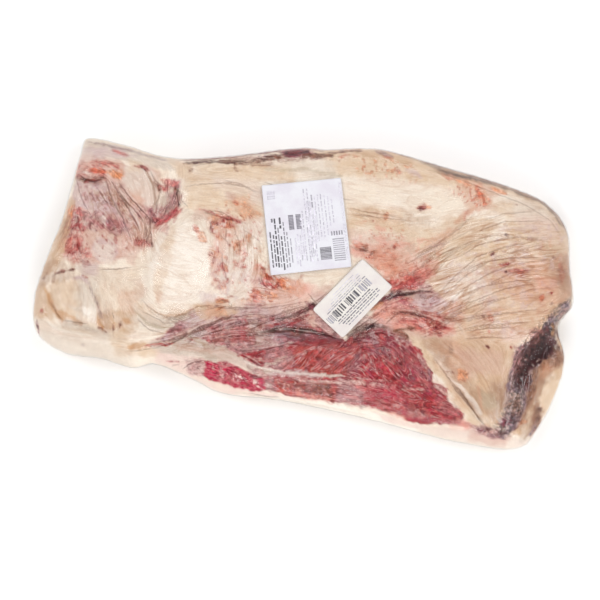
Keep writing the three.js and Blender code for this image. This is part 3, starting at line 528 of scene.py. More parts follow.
FRONT_LEAN = [
    area("lean", 1, 2.4, (-62, -110), (-40, -100), (-8, -90), (4, -83), (30, -80), (52, -78), (60, -66),
         (72, -54), (96, -50), (112, -54), (126, -64), (140, -72), (146, -84), (156, -94), (158, -105),
         (176, -112), (178, -124), (196, -136), (196, -147), (206, -151), (150, -156), (120, -152),
         (96, -147), (50, -148), (0, -150), (-18, -146), (-20, -130), (-20, -122), (-40, -118)),
    area("brick", 0.5, 5, (2, -88), (34, -86), (32, -118), (2, -120)),
    area("brick", 0.6, 8, (34, -84), (72, -82), (64, -114), (34, -116)),
    area("plum", 0.5, 7, (60, -66), (78, -52), (112, -56), (134, -76), (110, -84), (74, -80)),
    area("mauve", 0.9, 5, (-34, -98), (-8, -90), (4, -110), (-4, -122), (-30, -122)),
    area("brick", 0.6, 3, (-16, -130), (54, -128), (52, -148), (-14, -148)),
    area("brown", 0.55, 4, (20, -128), (48, -127), (48, -145), (26, -144)),
    area("mauve", 0.75, 5, (54, -118), (80, -124), (88, -136), (84, -148), (52, -148)),
    area("mauve", 0.9, 4, (-56, -112), (-40, -116), (-20, -122), (-14, -148), (-34, -148), (-30, -132),
         (-46, -124)),
    area("pinkfat", 0.3, 4, (-46, -118), (-20, -124), (-22, -132), (-40, -128)),
    streak("slate", 0.55, 3, (68, -100), (72, -84)),
    streak("lilac", 0.4, 1.6, (64, -106), (76, -90), (92, -80)),
    streak("crimson", 0.6, 4, (86, -102), (90, -114)),
    streak("blood", 0.5, 6, (86, -66), (100, -72)),
    area("blood", 0.55, 5, (92, -122), (140, -116), (176, -128), (206, -151), (150, -155), (100, -149)),
    area("plum", 0.35, 6, (82, -64), (110, -68), (112, -84), (86, -86)),
    area("pinkfat", 0.45, 3, (106, -56), (126, -60), (132, -70), (112, -66)),
    streak("pinkfat", 0.5, 3.4, (138, -78), (146, -90), (152, -100)),
    streak("pinkfat", 0.5, 3.4, (160, -110), (174, -116)),
    area("blood", 0.7, 5, (100, -110), (128, -112), (128, -132), (100, -132)),
    area("plum", 0.45, 4, (132, -86), (148, -92), (152, -106), (134, -104)),
    area("salmon", 0.4, 4, (134, -138), (152, -140), (156, -152), (134, -152)),
    box("pinkfat", 0.35, 4, 4, 26, -130, -120),
    box("salmon", 0.4, 3, 12, 46, -150, -143),
    streak("crimson", 0.5, 2.4, (138, -153), (170, -151), (204, -151)),
    streak("slate", 0.7, 2.6, (152, -92), (154, -104)),
    streak("dark", 0.45, 2, (34, -128), (38, -144)),
    area("crimson", 0.9, 2.6, (-99, -121), (-75, -119), (-60, -123), (-47, -129), (-31, -131),
         (-28, -148), (-60, -150), (-85, -143), (-99, -139)),
    area("crimson", 0.9, 4, (-96, -124), (-64, -124), (-30, -132), (-26, -148), (-60, -151), (-94, -140)),
    area("blood", 0.35, 4, (-94, -124), (-64, -126), (-40, -134), (-44, -146), (-70, -144)),
    area("pinkfat", 0.8, 6, (-156, -122), (-100, -120), (-99, -142), (-120, -148), (-156, -138)),
    area("mauve", 0.5, 5, (-118, -126), (-100, -121), (-96, -142), (-112, -144)),
    streak("pinkfat", 0.6, 2, (-88, -126), (-86, -132)),
    streak("pinkfat", 0.7, 2, (-78, -130), (-75, -138)),
    streak("pale", 0.85, 2.2, (-40, -136), (-36, -141)),
    streak("dark", 0.7, 1.4, (-46, -131), (-33, -132)),
    streak("crimson", 0.5, 0.9, (-142, -132), (-128, -129)),
    area("pinkfat", 0.75, 3, (-130, -146), (-90, -146), (-60, -150), (-28, -150), (-10, -152),
         (-10, -162), (-130, -162)),
    area("bright", 0.7, 3, (-10, -154), (50, -151), (100, -154), (130, -162), (150, -166), (150, -180),
         (-60, -180), (-60, -160)),
    area("pinkfat", 0.8, 3, (98, -153), (150, -159), (214, -156), (222, -160), (200, -168), (110, -163)),
    area("salmon", 0.6, 3, (108, -148), (128, -149), (140, -156), (118, -155)),
    box("salmon", 0.4, 3, 184, 204, -160, -150),
    area("salmon", 0.5, 3, (170, -144), (196, -140), (216, -152), (200, -156)),
    area("pale", 0.7, 6, (150, -160), (210, -156), (290, -156), (290, -175), (150, -178)),
    streak("greyfat", 0.7, 1.6, (-60, -156), (20, -156), (90, -158)),
    flecks("plum", 0.5, 4, 0.25, (-50, -110), (30, -84), (80, -56), (130, -64), (160, -108), (205, -150),
           (-14, -148)),
    flecks("plum", 0.45, 9, 0.3, (40, -112), (80, -56), (130, -64), (160, -108), (205, -150), (60, -140)),
    flecks("crimson", 0.4, 7, 0.25, (60, -112), (100, -90), (130, -90), (160, -116), (205, -150),
           (92, -148)),
    flecks("red", 0.45, 5, 0.3, (-50, -110), (30, -84), (80, -56), (130, -64), (160, -108), (205, -150),
           (-14, -148)),
    flecks("pinkfat", 0.8, 2.2, 0.08, (-90, -126), (-60, -126), (-30, -132), (-28, -146), (-60, -148),
           (-90, -136)),
    flecks("blood", 0.5, 4, 0.3, (-90, -126), (-60, -126), (-30, -132), (-28, -146), (-60, -148),
           (-90, -136)),
    streak("silver", 0.75, 2.4, (-160, -118), (-80, -114), (-60, -113), (-45, -119), (-28, -124),
           (0, -122), (30, -118), (56, -117)),
    streak("silver", 0.6, 2, (-150, -121), (-84, -118), (-62, -118), (-44, -124)),
    streak("silver", 0.6, 2.2, (-34, -122), (-18, -112), (-8, -102)),
    streak("pinkfat", 0.45, 2.2, (40, -124), (78, -120), (104, -118)),
    streak("lilac", 0.6, 3.4, (-24, -125), (8, -120), (34, -119)),
    streak("lilac", 0.45, 2, (-20, -118), (-4, -104), (14, -94), (34, -84)),
    streak("pinkfat", 0.3, 0.7, (84, -62), (98, -72), (112, -92)),
    streak("pinkfat", 0.3, 0.7, (100, -56), (114, -66), (122, -84)),
    streak("pinkfat", 0.25, 0.7, (82, -86), (96, -106), (120, -120), (146, -126)),
    streak("pinkfat", 0.3, 0.7, (104, -96), (96, -84), (98, -72), (110, -66), (124, -72)),
    streak("pinkfat", 0.45, 0.8, (60, -118), (96, -122), (130, -120), (150, -116)),
    streak("pinkfat", 0.4, 0.8, (100, -138), (140, -144), (180, -148)),
    streak("pinkfat", 0.35, 0.7, (30, -110), (50, -96), (74, -84)),
    flecks("mauve", 0.6, 3, 0.25, (-14, -130), (54, -128), (52, -147), (-14, -147)),
    area("brown", 0.3, 4, (-12, -132), (20, -130), (46, -128), (48, -140), (14, -140)),
    flecks("salmon", 0.6, 3, 0.3, (-14, -131), (30, -129), (30, -146), (-10, -147)),
    flecks("dark", 0.55, 3.4, 0.25, (18, -130), (50, -128), (50, -142), (20, -142)),
    area("lilac", 0.3, 4, (54, -126), (80, -128), (88, -136), (80, -146), (56, -146)),
    area("crimson", 0.35, 4, (92, -120), (124, -117), (126, -134), (94, -138)),
    area("pinkfat", 0.2, 5, (-84, -130), (-56, -130), (-56, -146), (-84, -144)),
    area("salmon", 0.3, 4, (184, -144), (206, -146), (206, -156), (184, -156)),
    streak("bright", 0.5, 1, (-52, -117), (-30, -122), (-7, -122), (38, -118), (60, -116)),
    streak("pinkfat", 0.4, 0.9, (56, -116), (76, -115), (122, -112)),
    streak("pale", 0.5, 1, (-4, -130), (39, -126), (60, -124)),
    streak("pinkfat", 0.35, 0.9, (60, -124), (85, -122), (123, -117), (150, -118)),
    area("lean", 0.35, 5, (14, -86), (60, -84), (60, -106), (14, -108)),
    area("slate", 0.3, 4, (58, -98), (74, -96), (76, -112), (60, -114)),
    area("mauve", 0.3, 5, (164, -124), (186, -126), (196, -140), (172, -142)),
    area("lean", 0.4, 4, (86, -112), (124, -112), (126, -122), (86, -124)),
    box("mauve", 0.35, 4, 170, 194, -154, -144),
    area("pinkfat", 0.35, 4, (-84, -112), (-50, -116), (-50, -126), (-84, -124)),
    area("crimson", 0.4, 4, (-90, -124), (-64, -126), (-62, -136), (-88, -136)),
    area("lean", 0.35, 4, (170, -138), (192, -140), (196, -152), (174, -152)),
]

SMALL_LABEL_SURROUND = [
    area("rosy", 0.85, 5, (78, -34), (92, -20), (104, -10), (140, -2), (170, -12), (178, -30), (172, -52),
         (140, -58), (112, -56), (84, -46)),
    area("red", 0.55, 4, (94, -18), (112, -12), (130, -14), (132, -30), (104, -32), (88, -34)),
    area("red", 0.6, 4, (92, -36), (112, -33), (150, -37), (172, -40), (164, -50), (128, -50), (104, -48)),
    area("red", 0.55, 4, (118, -36), (140, -34), (154, -38), (150, -48), (122, -50)),
    box("pinkfat", 0.5, 4, 100, 116, -46, -38),
    area("salmon", 0.6, 5, (140, -42), (172, -36), (176, -46), (150, -54), (130, -52)),
    area("lilac", 0.85, 5, (126, -9), (150, -3), (162, -12), (158, -28), (138, -28), (124, -20)),
    area("peach", 0.5, 6, (156, -20), (178, -6), (186, -18), (180, -36), (160, -34)),
    area("mauve", 0.5, 4, (120, 2), (140, 6), (148, -4), (130, -8)),
    streak("crimson", 0.55, 3, (110, -18), (119, -24)),
    streak("slate", 0.4, 4, (134, -12), (148, -16)),
    # Along the crease beside the small label: plum and dark juice with painted shade in it.
    streak("plum", 0.85, 3.2, (84, -28), (94, -18), (104, -12), (114, -9)),
    streak("dark", 0.85, 1.7, (82, -31), (92, -20), (100, -13), (112, -10), (130, -6), (142, -4)),
    area("red", 0.5, 4, (136, -26), (156, -26), (162, -40), (140, -40)),
    streak("blood", 0.5, 2, (96, -36), (108, -33), (120, -31), (134, -33), (150, -37), (160, -40)),
    area("salmon", 0.85, 4, (80, -44), (92, -28), (98, -33), (123, -35), (153, -38), (155, -46),
         (112, -53), (91, -52)),
    area("red", 0.6, 4, (108, -44), (123, -38), (136, -38), (128, -45), (117, -47)),
    area("mauve", 0.5, 4, (100, -24), (112, -17), (126, -20), (130, -28), (114, -30), (103, -32)),
    area("lilac", 0.5, 4, (127, -14), (142, -9), (150, -14), (150, -26), (137, -28)),
    streak("brown", 0.75, 1.6, (106, -55), (124, -50), (138, -46), (150, -39)),
    streak("blood", 0.7, 1.8, (148, -48), (156, -44), (168, -42)),
    streak("red", 0.5, 1.4, (154, -34), (166, -24)),
    area("mauve", 0.5, 5, (60, -58), (72, -42), (88, -48), (90, -58), (80, -60)),
    area("red", 0.6, 4, (128, -36), (146, -36), (150, -46), (130, -50)),
    box("mauve", 0.4, 4, 138, 154, -22, -8),
    streak("olive_shade", 0.5, 3.4, (66, -60), (78, -54), (92, -52)),
    streak("dark", 0.7, 3, (58, -68), (68, -58), (80, -54), (96, -52)),
    streak("black", 0.7, 1.4, (58, -70), (66, -62), (78, -56), (88, -52)),
    streak("brown", 0.6, 2.4, (88, -52), (104, -54), (116, -58), (124, -62)),
    streak("orange", 0.5, 3, (78, -36), (90, -26)),
    flecks("pinkfat", 0.4, 4, 0.2, (88, -40), (110, -10), (150, 0), (168, -14), (170, -54), (100, -56)),
    flecks("blood", 0.4, 4, 0.25, (88, -40), (110, -14), (130, -12), (168, -30), (170, -54), (100, -56)),
    flecks("lilac", 0.5, 4, 0.3, (60, -66), (76, -50), (110, -50), (124, -66), (100, -72), (70, -72)),
    area("silver", 0.35, 5, (56, -56), (74, -54), (76, -68), (58, -70)),
    box("lilac", 0.35, 4, 84, 104, -56, -44),
    area("salmon", 0.45, 5, (98, -22), (120, -22), (128, -40), (100, -42)),
    area("pinkfat", 0.3, 4, (14, -46), (26, -50), (44, -68), (34, -72), (18, -60)),
]

TOP_FIELD = [
    area("tan", 0.85, 6, (-5, 152), (30, 160), (80, 160), (130, 156), (176, 142), (176, 126), (120, 124),
         (60, 122), (30, 118), (0, 124)),
    area("crease_shade", 0.45, 4, (124, 156), (206, 142), (250, 130), (246, 122), (200, 132), (126, 140)),
    area("buff", 0.6, 4, (40, 162), (100, 162), (100, 140), (40, 142)),
    area("tan", 0.8, 7, (32, 84), (100, 86), (108, 60), (36, 58)),
    area("peach", 0.3, 7, (62, 80), (98, 80), (96, 64), (60, 62)),
    area("greyfat", 0.5, 8, (96, 86), (136, 86), (136, 72), (96, 70)),
    area("tan", 0.6, 10, (36, 70), (130, 70), (150, 50), (120, 36), (36, 44)),
    area("tan", 0.7, 8, (112, 34), (130, 66), (150, 84), (190, 96), (210, 84), (176, 50), (150, 30)),
    area("peach", 0.5, 5, (120, 40), (132, 60), (150, 74), (164, 74), (150, 56), (132, 36)),
    area("rosy", 0.7, 12, (36, 52), (60, 54), (100, 56), (120, 44), (146, 38), (140, 8), (96, 0),
         (84, 16), (52, 28)),
    area("salmon", 0.7, 9, (42, 32), (76, 42), (104, 38), (122, 30), (100, 2), (90, 2), (84, 8), (62, 22)),
    area("orange", 0.5, 9, (66, 30), (98, 30), (104, 12), (94, 2), (80, 12)),
    area("red", 0.8, 5, (88, 0), (98, -8), (126, -6), (134, 6), (140, 22), (132, 25), (116, 14), (104, 4)),
    area("blood", 0.4, 5, (104, 0), (110, -6), (124, -2), (134, 16), (128, 18), (116, 8)),
    area("salmon", 0.5, 5, (112, 20), (132, 30), (146, 34), (144, 14), (134, 8)),
    area("peach", 0.6, 9, (150, 140), (185, 138), (204, 124), (198, 104), (172, 96), (158, 116)),
    streak("rust", 0.5, 4, (78, 28), (94, 17)),
    streak("rust", 0.6, 3.4, (95, 48), (94, 42)),
    streak("rust", 0.5, 4, (46, 40), (60, 36)),
    streak("brown", 0.6, 1.4, (44, 34), (56, 33), (66, 33)),
    streak("brown", 0.6, 2.4, (62, 40), (62, 33)),
    streak("dark", 0.75, 2.4, (72, 35), (69, 28)),
    streak("orange", 0.6, 3, (80, 79), (80, 73)),
    streak("blood", 0.7, 1.8, (66, 68)),
    streak("red", 0.65, 2.4, (77, 59)),
    streak("pinkfat", 0.8, 3, (46, 44), (52, 43)),
    streak("orange", 0.5, 2.6, (114, 92), (128, 95)),
    streak("plum", 0.6, 3.2, (115, 91), (121, 92)),
    streak("dark", 0.6, 1.6, (117, 91), (119, 91)),
    streak("olive_shade", 0.7, 2, (114, 79)),
    streak("red", 0.6, 1.6, (142, 56)),
    streak("rust", 0.5, 2.2, (136, 57)),
    streak("rust", 0.5, 2.4, (44, 134)),
    streak("red", 0.5, 2, (51, 128)),
    streak("red", 0.45, 2.4, (72, 125)),
    streak("red", 0.4, 2.4, (80, 134), (90, 131)),
    streak("lilac", 0.6, 3, (96, 136), (112, 131)),
    streak("brown", 0.6, 1.6, (15, 135)),
    streak("rust", 0.4, 3, (14, 142), (24, 143)),
    streak("rust", 0.45, 2.6, (66, 149), (76, 148)),
    streak("rust", 0.4, 4, (136, 139), (150, 136)),
    streak("orange", 0.5, 4, (155, 134), (170, 130)),
    streak("orange", 0.45, 8, (176, 128), (190, 112)),
    streak("rust", 0.5, 3, (180, 120), (190, 116)),
    streak("rust", 0.45, 2.4, (176, 130), (180, 122)),
    streak("blood", 0.7, 1.6, (186, 120)),
    streak("blood", 0.5, 1.4, (191, 117)),
    streak("orange", 0.6, 3, (196, 130), (212, 126)),
    streak("lilac", 0.6, 2, (170, 117)),
    streak("brown", 0.4, 1.8, (225, 114)),
    streak("red", 0.5, 1.8, (171, 98), (168, 86)),
    streak("peach", 0.6, 3, (176, 104), (160, 80)),
    flecks("rust", 0.4, 5, 0.3, (56, 34), (100, 36), (142, 34), (120, 4), (94, 0), (70, 14)),
    flecks("pale", 0.35, 4, 0.2, (50, 46), (100, 46), (138, 34), (120, 4), (94, 0), (66, 20)),
    flecks("salmon", 0.4, 6, 0.25, (36, 66), (130, 66), (150, 40), (120, 30), (36, 36)),
    area("salmon", 0.4, 4, (66, 30), (84, 31), (102, 34), (106, 20), (93, 3), (84, 2), (78, 12)),
    flecks("rust", 0.45, 4, 0.3, (60, 40), (106, 40), (112, 18), (93, 0), (74, 14)),
    area("fat", 0.4, 5, (48, 62), (66, 62), (68, 46), (48, 46)),
    area("crease_shade", 0.4, 4, (130, 148), (160, 146), (160, 136), (130, 138)),
    area("peach", 0.4, 5, (66, 40), (110, 40), (116, 18), (98, 6), (74, 18)),
    area("fat", 0.3, 5, (96, 42), (116, 40), (118, 24), (98, 26)),
    flecks("rust", 0.55, 3, 0.3, (146, 124), (177, 134), (200, 122), (192, 103), (162, 105)),
    flecks("orange", 0.5, 3, 0.22, (30, 144), (67, 153), (106, 144), (110, 125), (67, 120), (32, 126)),
    flecks("rust", 0.45, 2.2, 0.08, (46, 70), (100, 68), (110, 40), (70, 20), (46, 30)),
]

RIGHT_FAN = [
    area("tan", 0.85, 20, (118, -62), (140, 0), (160, 50), (200, 92), (300, 104), (308, 0), (262, -40),
         (245, -60), (240, -150), (212, -142), (165, -70)),
    area("peach", 0.28, 16, (150, -60), (170, -10), (200, 30), (236, 60), (300, 66), (306, 0), (262, -40),
         (240, -60), (236, -120), (180, -80)),
    area("peach", 0.5, 12, (228, 46), (306, 64), (306, 0), (286, -10), (240, 0), (212, 24)),
    area("crease_shade", 0.4, 8, (262, 62), (312, 66), (312, 10), (292, 4), (276, 24)),
    area("crease_shade", 0.25, 10, (200, 116), (240, 122), (312, 110), (312, 40), (262, 50), (236, 92)),
    area("pinkfat", 0.4, 10, (220, 100), (262, 108), (286, 80), (250, 76)),
    area("buff", 0.6, 10, (150, -56), (246, -50), (246, -140), (226, -150), (205, -130), (172, -90)),
    area("peach", 0.5, 7, (156, -54), (180, -56), (196, -84), (196, -100), (176, -92), (164, -72)),
    area("crease_shade", 0.45, 7, (222, -96), (246, -90), (244, -134), (226, -138), (214, -116)),
    area("rosy", 0.5, 10, (180, -66), (232, -60), (238, -84), (196, -92)),
    area("pinkfat", 0.5, 8, (222, -34), (256, -30), (262, -46), (232, -50)),
    area("pale", 0.75, 12, (146, 24), (160, 38), (205, 36), (215, -8), (172, -16), (146, 4)),
    area("bright", 0.6, 10, (166, 98), (212, 98), (222, 70), (182, 62)),
    area("bright", 0.45, 8, (164, 18), (194, 18), (194, -6), (166, -6)),
    area("pale", 0.5, 7, (196, -12), (222, -12), (222, -32), (198, -32)),
    area("tan", 0.5, 6, (120, 48), (148, 48), (148, 28), (124, 28)),
    box("pale", 0.5, 7, 222, 248, 48, 68),
    area("tan", 0.6, 6, (192, 116), (222, 114), (222, 96), (194, 98)),
    box("crease_shade", 0.35, 6, 222, 244, -120, -98),
    area("crease_shade", 0.3, 5, (198, -108), (214, -108), (218, -146), (202, -146)),
    area("red", 0.45, 5, (104, 22), (124, 22), (124, 6), (106, 6)),
    box("salmon", 0.35, 5, 36, 56, 24, 36),
    area("crease_shade", 0.3, 5, (134, 150), (158, 146), (158, 134), (136, 136)),
    box("salmon", 0.35, 5, 258, 282, 18, 34),
    area("crease_shade", 0.35, 7, (284, 60), (312, 60), (312, 10), (290, 14)),
    area("tan", 0.9, 4, (120, -68), (134, -68), (150, -88), (172, -108), (206, -150), (222, -154),
         (200, -126), (178, -100), (158, -80), (140, -62)),
    area("peach", 0.35, 6, (140, -62), (160, -62), (190, -96), (206, -130), (196, -134), (164, -92)),
    area("crease_shade", 0.3, 6, (160, -74), (180, -84), (216, -108), (222, -134), (204, -128), (176, -102)),
    area("crease_shade", 0.4, 6, (134, -52), (156, -50), (174, -58), (170, -84), (156, -82), (144, -70)),
    area("salmon", 0.3, 4, (160, -102), (176, -110), (184, -122), (170, -120), (160, -110)),
    area("mauve", 0.4, 5, (196, -144), (230, -148), (234, -160), (200, -158)),
    streak("olive_shade", 0.55, 9, (216, -112), (230, -122)),
    streak("brown", 0.4, 4, (172, -64), (174, -70)),
    streak("brown", 0.55, 2, (170, -92), (179, -92)),
    streak("orange", 0.6, 6, (186, -88), (192, -96)),
    streak("plum", 0.5, 2.4, (212, -57), (216, -57)),
    streak("brown", 0.6, 1.4, (240, -53)),
    streak("red", 0.5, 1.6, (238, -36)),
    streak("brown", 0.7, 2.4, (202, -21), (205, -25)),
    streak("rust", 0.5, 3.6, (210, -17), (214, -26)),
    streak("red", 0.5, 1.6, (212, -40)),
    streak("peach", 0.5, 1.4, (208, -102), (213, -118), (216, -128)),
    streak("bright", 0.55, 1.8, (180, -100), (196, -112), (206, -122), (216, -134)),
    streak("brown", 0.6, 2.4, (217, 78), (219, 74)),
    streak("plum", 0.55, 3, (203, 50), (206, 48)),
    streak("black", 0.85, 1.7, (223, 32), (226, 33)),
    streak("red", 0.7, 2.2, (221, 32), (240, 36), (248, 38)),
    streak("red", 0.55, 2.2, (214, 40), (226, 44)),
    streak("rosy", 0.8, 4, (206, 34), (246, 30)),
    streak("brown", 0.6, 1.8, (262, 41)),
    streak("brown", 0.55, 1.8, (274, 58), (280, 56)),
    streak("brown", 0.55, 1.8, (285, 45), (286, 38)),
    streak("blood", 0.75, 1.8, (278, 16)),
    streak("blood", 0.7, 1.8, (281, 3)),
    streak("rust", 0.55, 2.4, (266, 5), (268, 12)),
    streak("red", 0.35, 3, (286, 52), (290, 30)),
    flecks("peach", 0.4, 5, 0.3, (150, -50), (170, 20), (200, 60), (300, 90), (300, 0), (250, -40)),
    flecks("lilac", 0.35, 5, 0.3, (150, -50), (160, 40), (200, 90), (290, 110), (300, 50), (240, -40)),
    area("fat", 0.6, 6, (182, 96), (210, 94), (210, 72), (180, 72)),
    area("fat", 0.5, 6, (170, 16), (190, 14), (190, -6), (168, -4)),
    box("peach", 0.4, 5, 264, 284, 16, 36),
    area("crease_shade", 0.4, 4, (282, 46), (298, 44), (298, 28), (282, 28)),
    area("peach", 0.35, 7, (196, -10), (214, -14), (214, -30), (194, -28)),
    flecks("rust", 0.6, 4, 0.35, (166, -12), (186, -12), (184, -28), (166, -38)),
    streak("shadow", 0.8, 1.6, (216, 76), (218, 77)),
    streak("dark", 0.9, 1.6, (205, 49), (206, 50)),
    streak("blood", 0.8, 1.8, (219, 41), (226, 43)),
    streak("dark", 0.9, 1.6, (222, 33), (224, 33)),
    streak("rust", 0.4, 1.6, (226, 34), (244, 33)),
    streak("blood", 0.9, 1.8, (277, 17), (279, 15)),
    streak("dark", 0.8, 1.8, (280, 4), (279, 0)),
    streak("brown", 0.8, 1.5, (212, -56), (214, -57)),
    streak("blood", 0.8, 1.2, (239, -53), (240, -54)),
    streak("brown", 0.7, 1.5, (274, 59), (276, 59)),
    streak("red", 0.7, 1.2, (212, -39), (213, -40)),
    area("fat", 0.5, 5, (184, 92), (206, 90), (206, 74), (184, 74)),
    area("tan", 0.4, 6, (180, -22), (202, -22), (202, 8), (180, 8)),
]

# The tucked end. Its dark and black strokes along the gap are dark meat with painted shade in the deep fold,
# the crease and shadow fields at its top are painted shade, and its lilac flecks are painted highlights on
# the crumpled film.
RIGHT_END = [
    area("shadow", 0.6, 4, (306, 14), (292, 6), (276, -14), (290, -26), (296, -50), (304, -50), (312, -20)),
    area("tan", 0.9, 4, (278, -60), (312, -60), (312, -112), (286, -126), (262, -122), (268, -90)),
    area("buff", 0.9, 5, (272, -62), (300, -60), (290, -78), (282, -92), (280, -126), (264, -124),
         (266, -80)),
    area("crease_shade", 0.85, 5, (270, -64), (296, -54), (294, -80), (284, -92), (280, -118), (262, -122),
         (264, -84)),
    area("orange", 0.25, 5, (278, -66), (296, -66), (290, -84), (278, -84)),
    area("brown", 0.6, 5, (268, -70), (282, -66), (276, -84), (272, -112), (262, -118), (262, -90)),
    area("buff", 0.8, 4, (294, -62), (314, -60), (314, -84), (296, -84)),
    area("brown", 0.9, 4, (282, -48), (300, -48), (302, -66), (286, -66)),
    area("buff", 0.7, 4, (291, -34), (306, -34), (308, -50), (294, -48)),
    area("buff", 0.9, 5, (250, -124), (290, -120), (286, -154), (248, -152)),
    area("crease_shade", 0.5, 5, (254, -124), (276, -122), (274, -140), (252, -146)),
    area("crease_shade", 0.45, 4, (274, -126), (290, -124), (288, -142), (274, -142)),
    area("silver", 0.5, 5, (264, -144), (292, -140), (284, -160), (262, -162)),
    area("rosy", 0.7, 5, (206, -150), (250, -156), (250, -170), (206, -170)),
    area("slate", 0.9, 3.5, (304, 12), (292, 4), (279, -12), (270, -28), (262, -42), (250, -52),
         (246, -66), (243, -82), (243, -96), (245, -110), (245, -124), (240, -135), (236, -150),
         (228, -158), (246, -160), (262, -132), (266, -118), (266, -90), (272, -72), (280, -60),
         (292, -52), (292, -40), (288, -28), (290, -18), (298, -10), (304, -2)),
    area("dark", 0.85, 4, (290, -22), (278, -20), (264, -40), (252, -54), (248, -70), (248, -92),
         (260, -100), (268, -92), (270, -74), (280, -62), (294, -56), (294, -36)),
    area("black", 0.75, 4, (294, -42), (280, -40), (269, -50), (262, -70), (257, -88), (264, -92),
         (270, -72), (280, -60), (292, -50)),
    area("slate", 0.7, 4, (244, -94), (254, -98), (264, -112), (262, -124), (248, -122), (243, -108)),
    area("silver", 0.7, 4, (242, -104), (260, -106), (262, -124), (242, -124)),
    area("mauve", 0.6, 4, (243, -50), (256, -50), (258, -84), (245, -86)),
    area("mauve", 0.5, 4, (258, -28), (274, -28), (274, -46), (260, -46)),
    box("lilac", 0.5, 4, 242, 260, -126, -108),
    area("tan", 0.5, 4, (266, -122), (284, -122), (284, -138), (268, -138)),
    area("crease_shade", 0.5, 4, (270, -138), (290, -138), (290, -154), (272, -154)),
    area("tan", 0.6, 4, (272, 4), (294, 4), (292, -12), (276, -12)),
    box("silver", 0.5, 4, 230, 246, -156, -142),
    streak("black", 0.95, 5, (270, -58), (292, -48)),
    streak("black", 0.8, 4, (255, -82), (260, -90)),
    streak("dark", 0.7, 4, (280, -30), (286, -44)),
    streak("lilac", 0.5, 2, (245, -82), (248, -100)),
    streak("dark", 0.75, 2, (243, -140), (254, -136), (264, -135)),
    streak("plum", 0.7, 4, (240, -142), (248, -134)),
    area("mauve", 0.5, 4, (206, -148), (238, -146), (244, -160), (212, -160)),
    streak("dark", 0.75, 2.2, (225, -150), (230, -149)),
    streak("plum", 0.75, 1.8, (214, -154), (224, -153)),
    streak("dark", 0.65, 3, (240, -155), (246, -152)),
    streak("ochre", 0.8, 2.2, (287, -20), (288, -34)),
    streak("dark", 0.7, 2.4, (292, -40), (298, -52), (304, -62)),
    streak("brown", 0.8, 4, (279, -116), (280, -138)),
    streak("dark", 0.85, 3.4, (282, -118), (284, -134)),
    streak("slate", 0.8, 2.4, (282, -134), (276, -152)),
    streak("orange", 0.5, 2.4, (258, -138), (270, -136)),
    # Lilac flecks: painted highlights on the crumpled film.
    flecks("lilac", 0.7, 2.8, 0.25, (302, 6), (280, -10), (262, -40), (246, -56), (243, -84), (244, -120),
           (236, -150), (246, -156), (262, -120), (254, -100), (252, -76), (264, -56), (280, -30),
           (296, -10)),
    flecks("black", 0.6, 3.4, 0.3, (290, -14), (264, -44), (248, -66), (246, -90), (264, -90), (272, -66),
           (288, -52), (290, -30)),
    area("black", 0.35, 4, (290, -20), (292, -34), (280, -52), (270, -66), (262, -84), (254, -100),
         (248, -96), (256, -74), (264, -54), (276, -36)),
    area("crease_shade", 0.55, 4, (290, -46), (308, -48), (306, -70), (292, -70)),
    area("crease_shade", 0.5, 4, (272, -120), (290, -118), (288, -142), (272, -154)),
    box("brown", 0.3, 4, 254, 270, -134, -118),
    area("brown", 0.4, 4, (290, -48), (304, -50), (302, -66), (290, -66)),
    area("brown", 0.2, 4, (280, -128), (290, -128), (290, -144), (280, -146)),
    flecks("lilac", 0.4, 2.4, 0.14, (286, -30), (270, -50), (256, -70), (252, -100), (270, -92),
           (280, -60)),
    area("dark", 0.5, 4, (250, -74), (268, -74), (266, -98), (250, -98)),
    area("black", 0.3, 4, (266, -44), (282, -44), (284, -60), (266, -62)),
    area("crease_shade", 0.4, 4, (294, -48), (308, -50), (308, -66), (294, -66)),
    box("crease_shade", 0.35, 4, 290, 304, -14, 2),
]

# The regions in the order they are laid.
PAINT = [
    *RIGHT_FAN, *TOP_FIELD, *KNOB_AND_BACK_EDGE, *STAINED_PAD, *LEFT_END, *BACK_LEFT_CORNER, *MAUVE_BAND,
    *FRONT_LEAN, *SMALL_LABEL_SURROUND, *RIGHT_END,
]

# Bands along the steep back, under the strokes: the back's tan and brown, and painted shade where it turns
# from the light.
# Pigment, strength, left and right end, and how level the form still is where they start.
BACK_TONES_AND_SHADE = [
    ("tan", 0.7, -60, 330, 0.98), ("crease_shade", 0.75, 60, 330, 0.80), ("shadow", 0.9, 70, 330, 0.66),
    ("brown", 0.5, -190, 60, 0.76), ("dark", 0.8, -150, 330, 0.48),
]

# Layers of the cut sides that face away: pigment, strength, left and right end, lower and upper height, and
# whether the layer is on the back side only. The first ones go past both ends, the foot and the top.
LEFT, RIGHT, UNDER, OVER = -400, 400, -20, 80
SIDE_LAYERS = [
    ("buff", 0.9, LEFT, RIGHT, UNDER, OVER, False), ("tan", 0.75, LEFT, RIGHT, UNDER, OVER, True),
    ("fat", 0.85, LEFT, RIGHT, UNDER, 11, False), ("greyfat", 0.6, LEFT, RIGHT, 12, 18, False),
    ("fat", 0.6, LEFT, RIGHT, 22, 27, False), ("tan", 0.6, LEFT, RIGHT, 31, 36, False),
    ("lean", 0.8, -150, 290, 14, 24, True), ("plum", 0.6, -120, 60, 16, 22, True),
    ("pale", 0.7, -200, 320, 24, 27, True), ("plum", 0.8, -170, -20, 28, 42, True),
    ("lean", 0.6, -40, 90, 29, 36, True), ("brown", 0.75, 70, 300, 27, 40, True),
    ("dark", 0.6, 90, 300, 35, 46, True), ("dark", 0.6, -150, -50, 34, 46, True),
]

# Bands of the same kind laid over the strokes, for the dark line along the top of the back: dark lean, with
# painted shade where it turns from the light.
BACK_RIM_LEAN_AND_SHADE = [
    ("shadow", 0.8, 80, 330, 0.50), ("plum", 0.6, -150, 60, 0.42), ("dark", 0.8, -140, 320, 0.34),
]

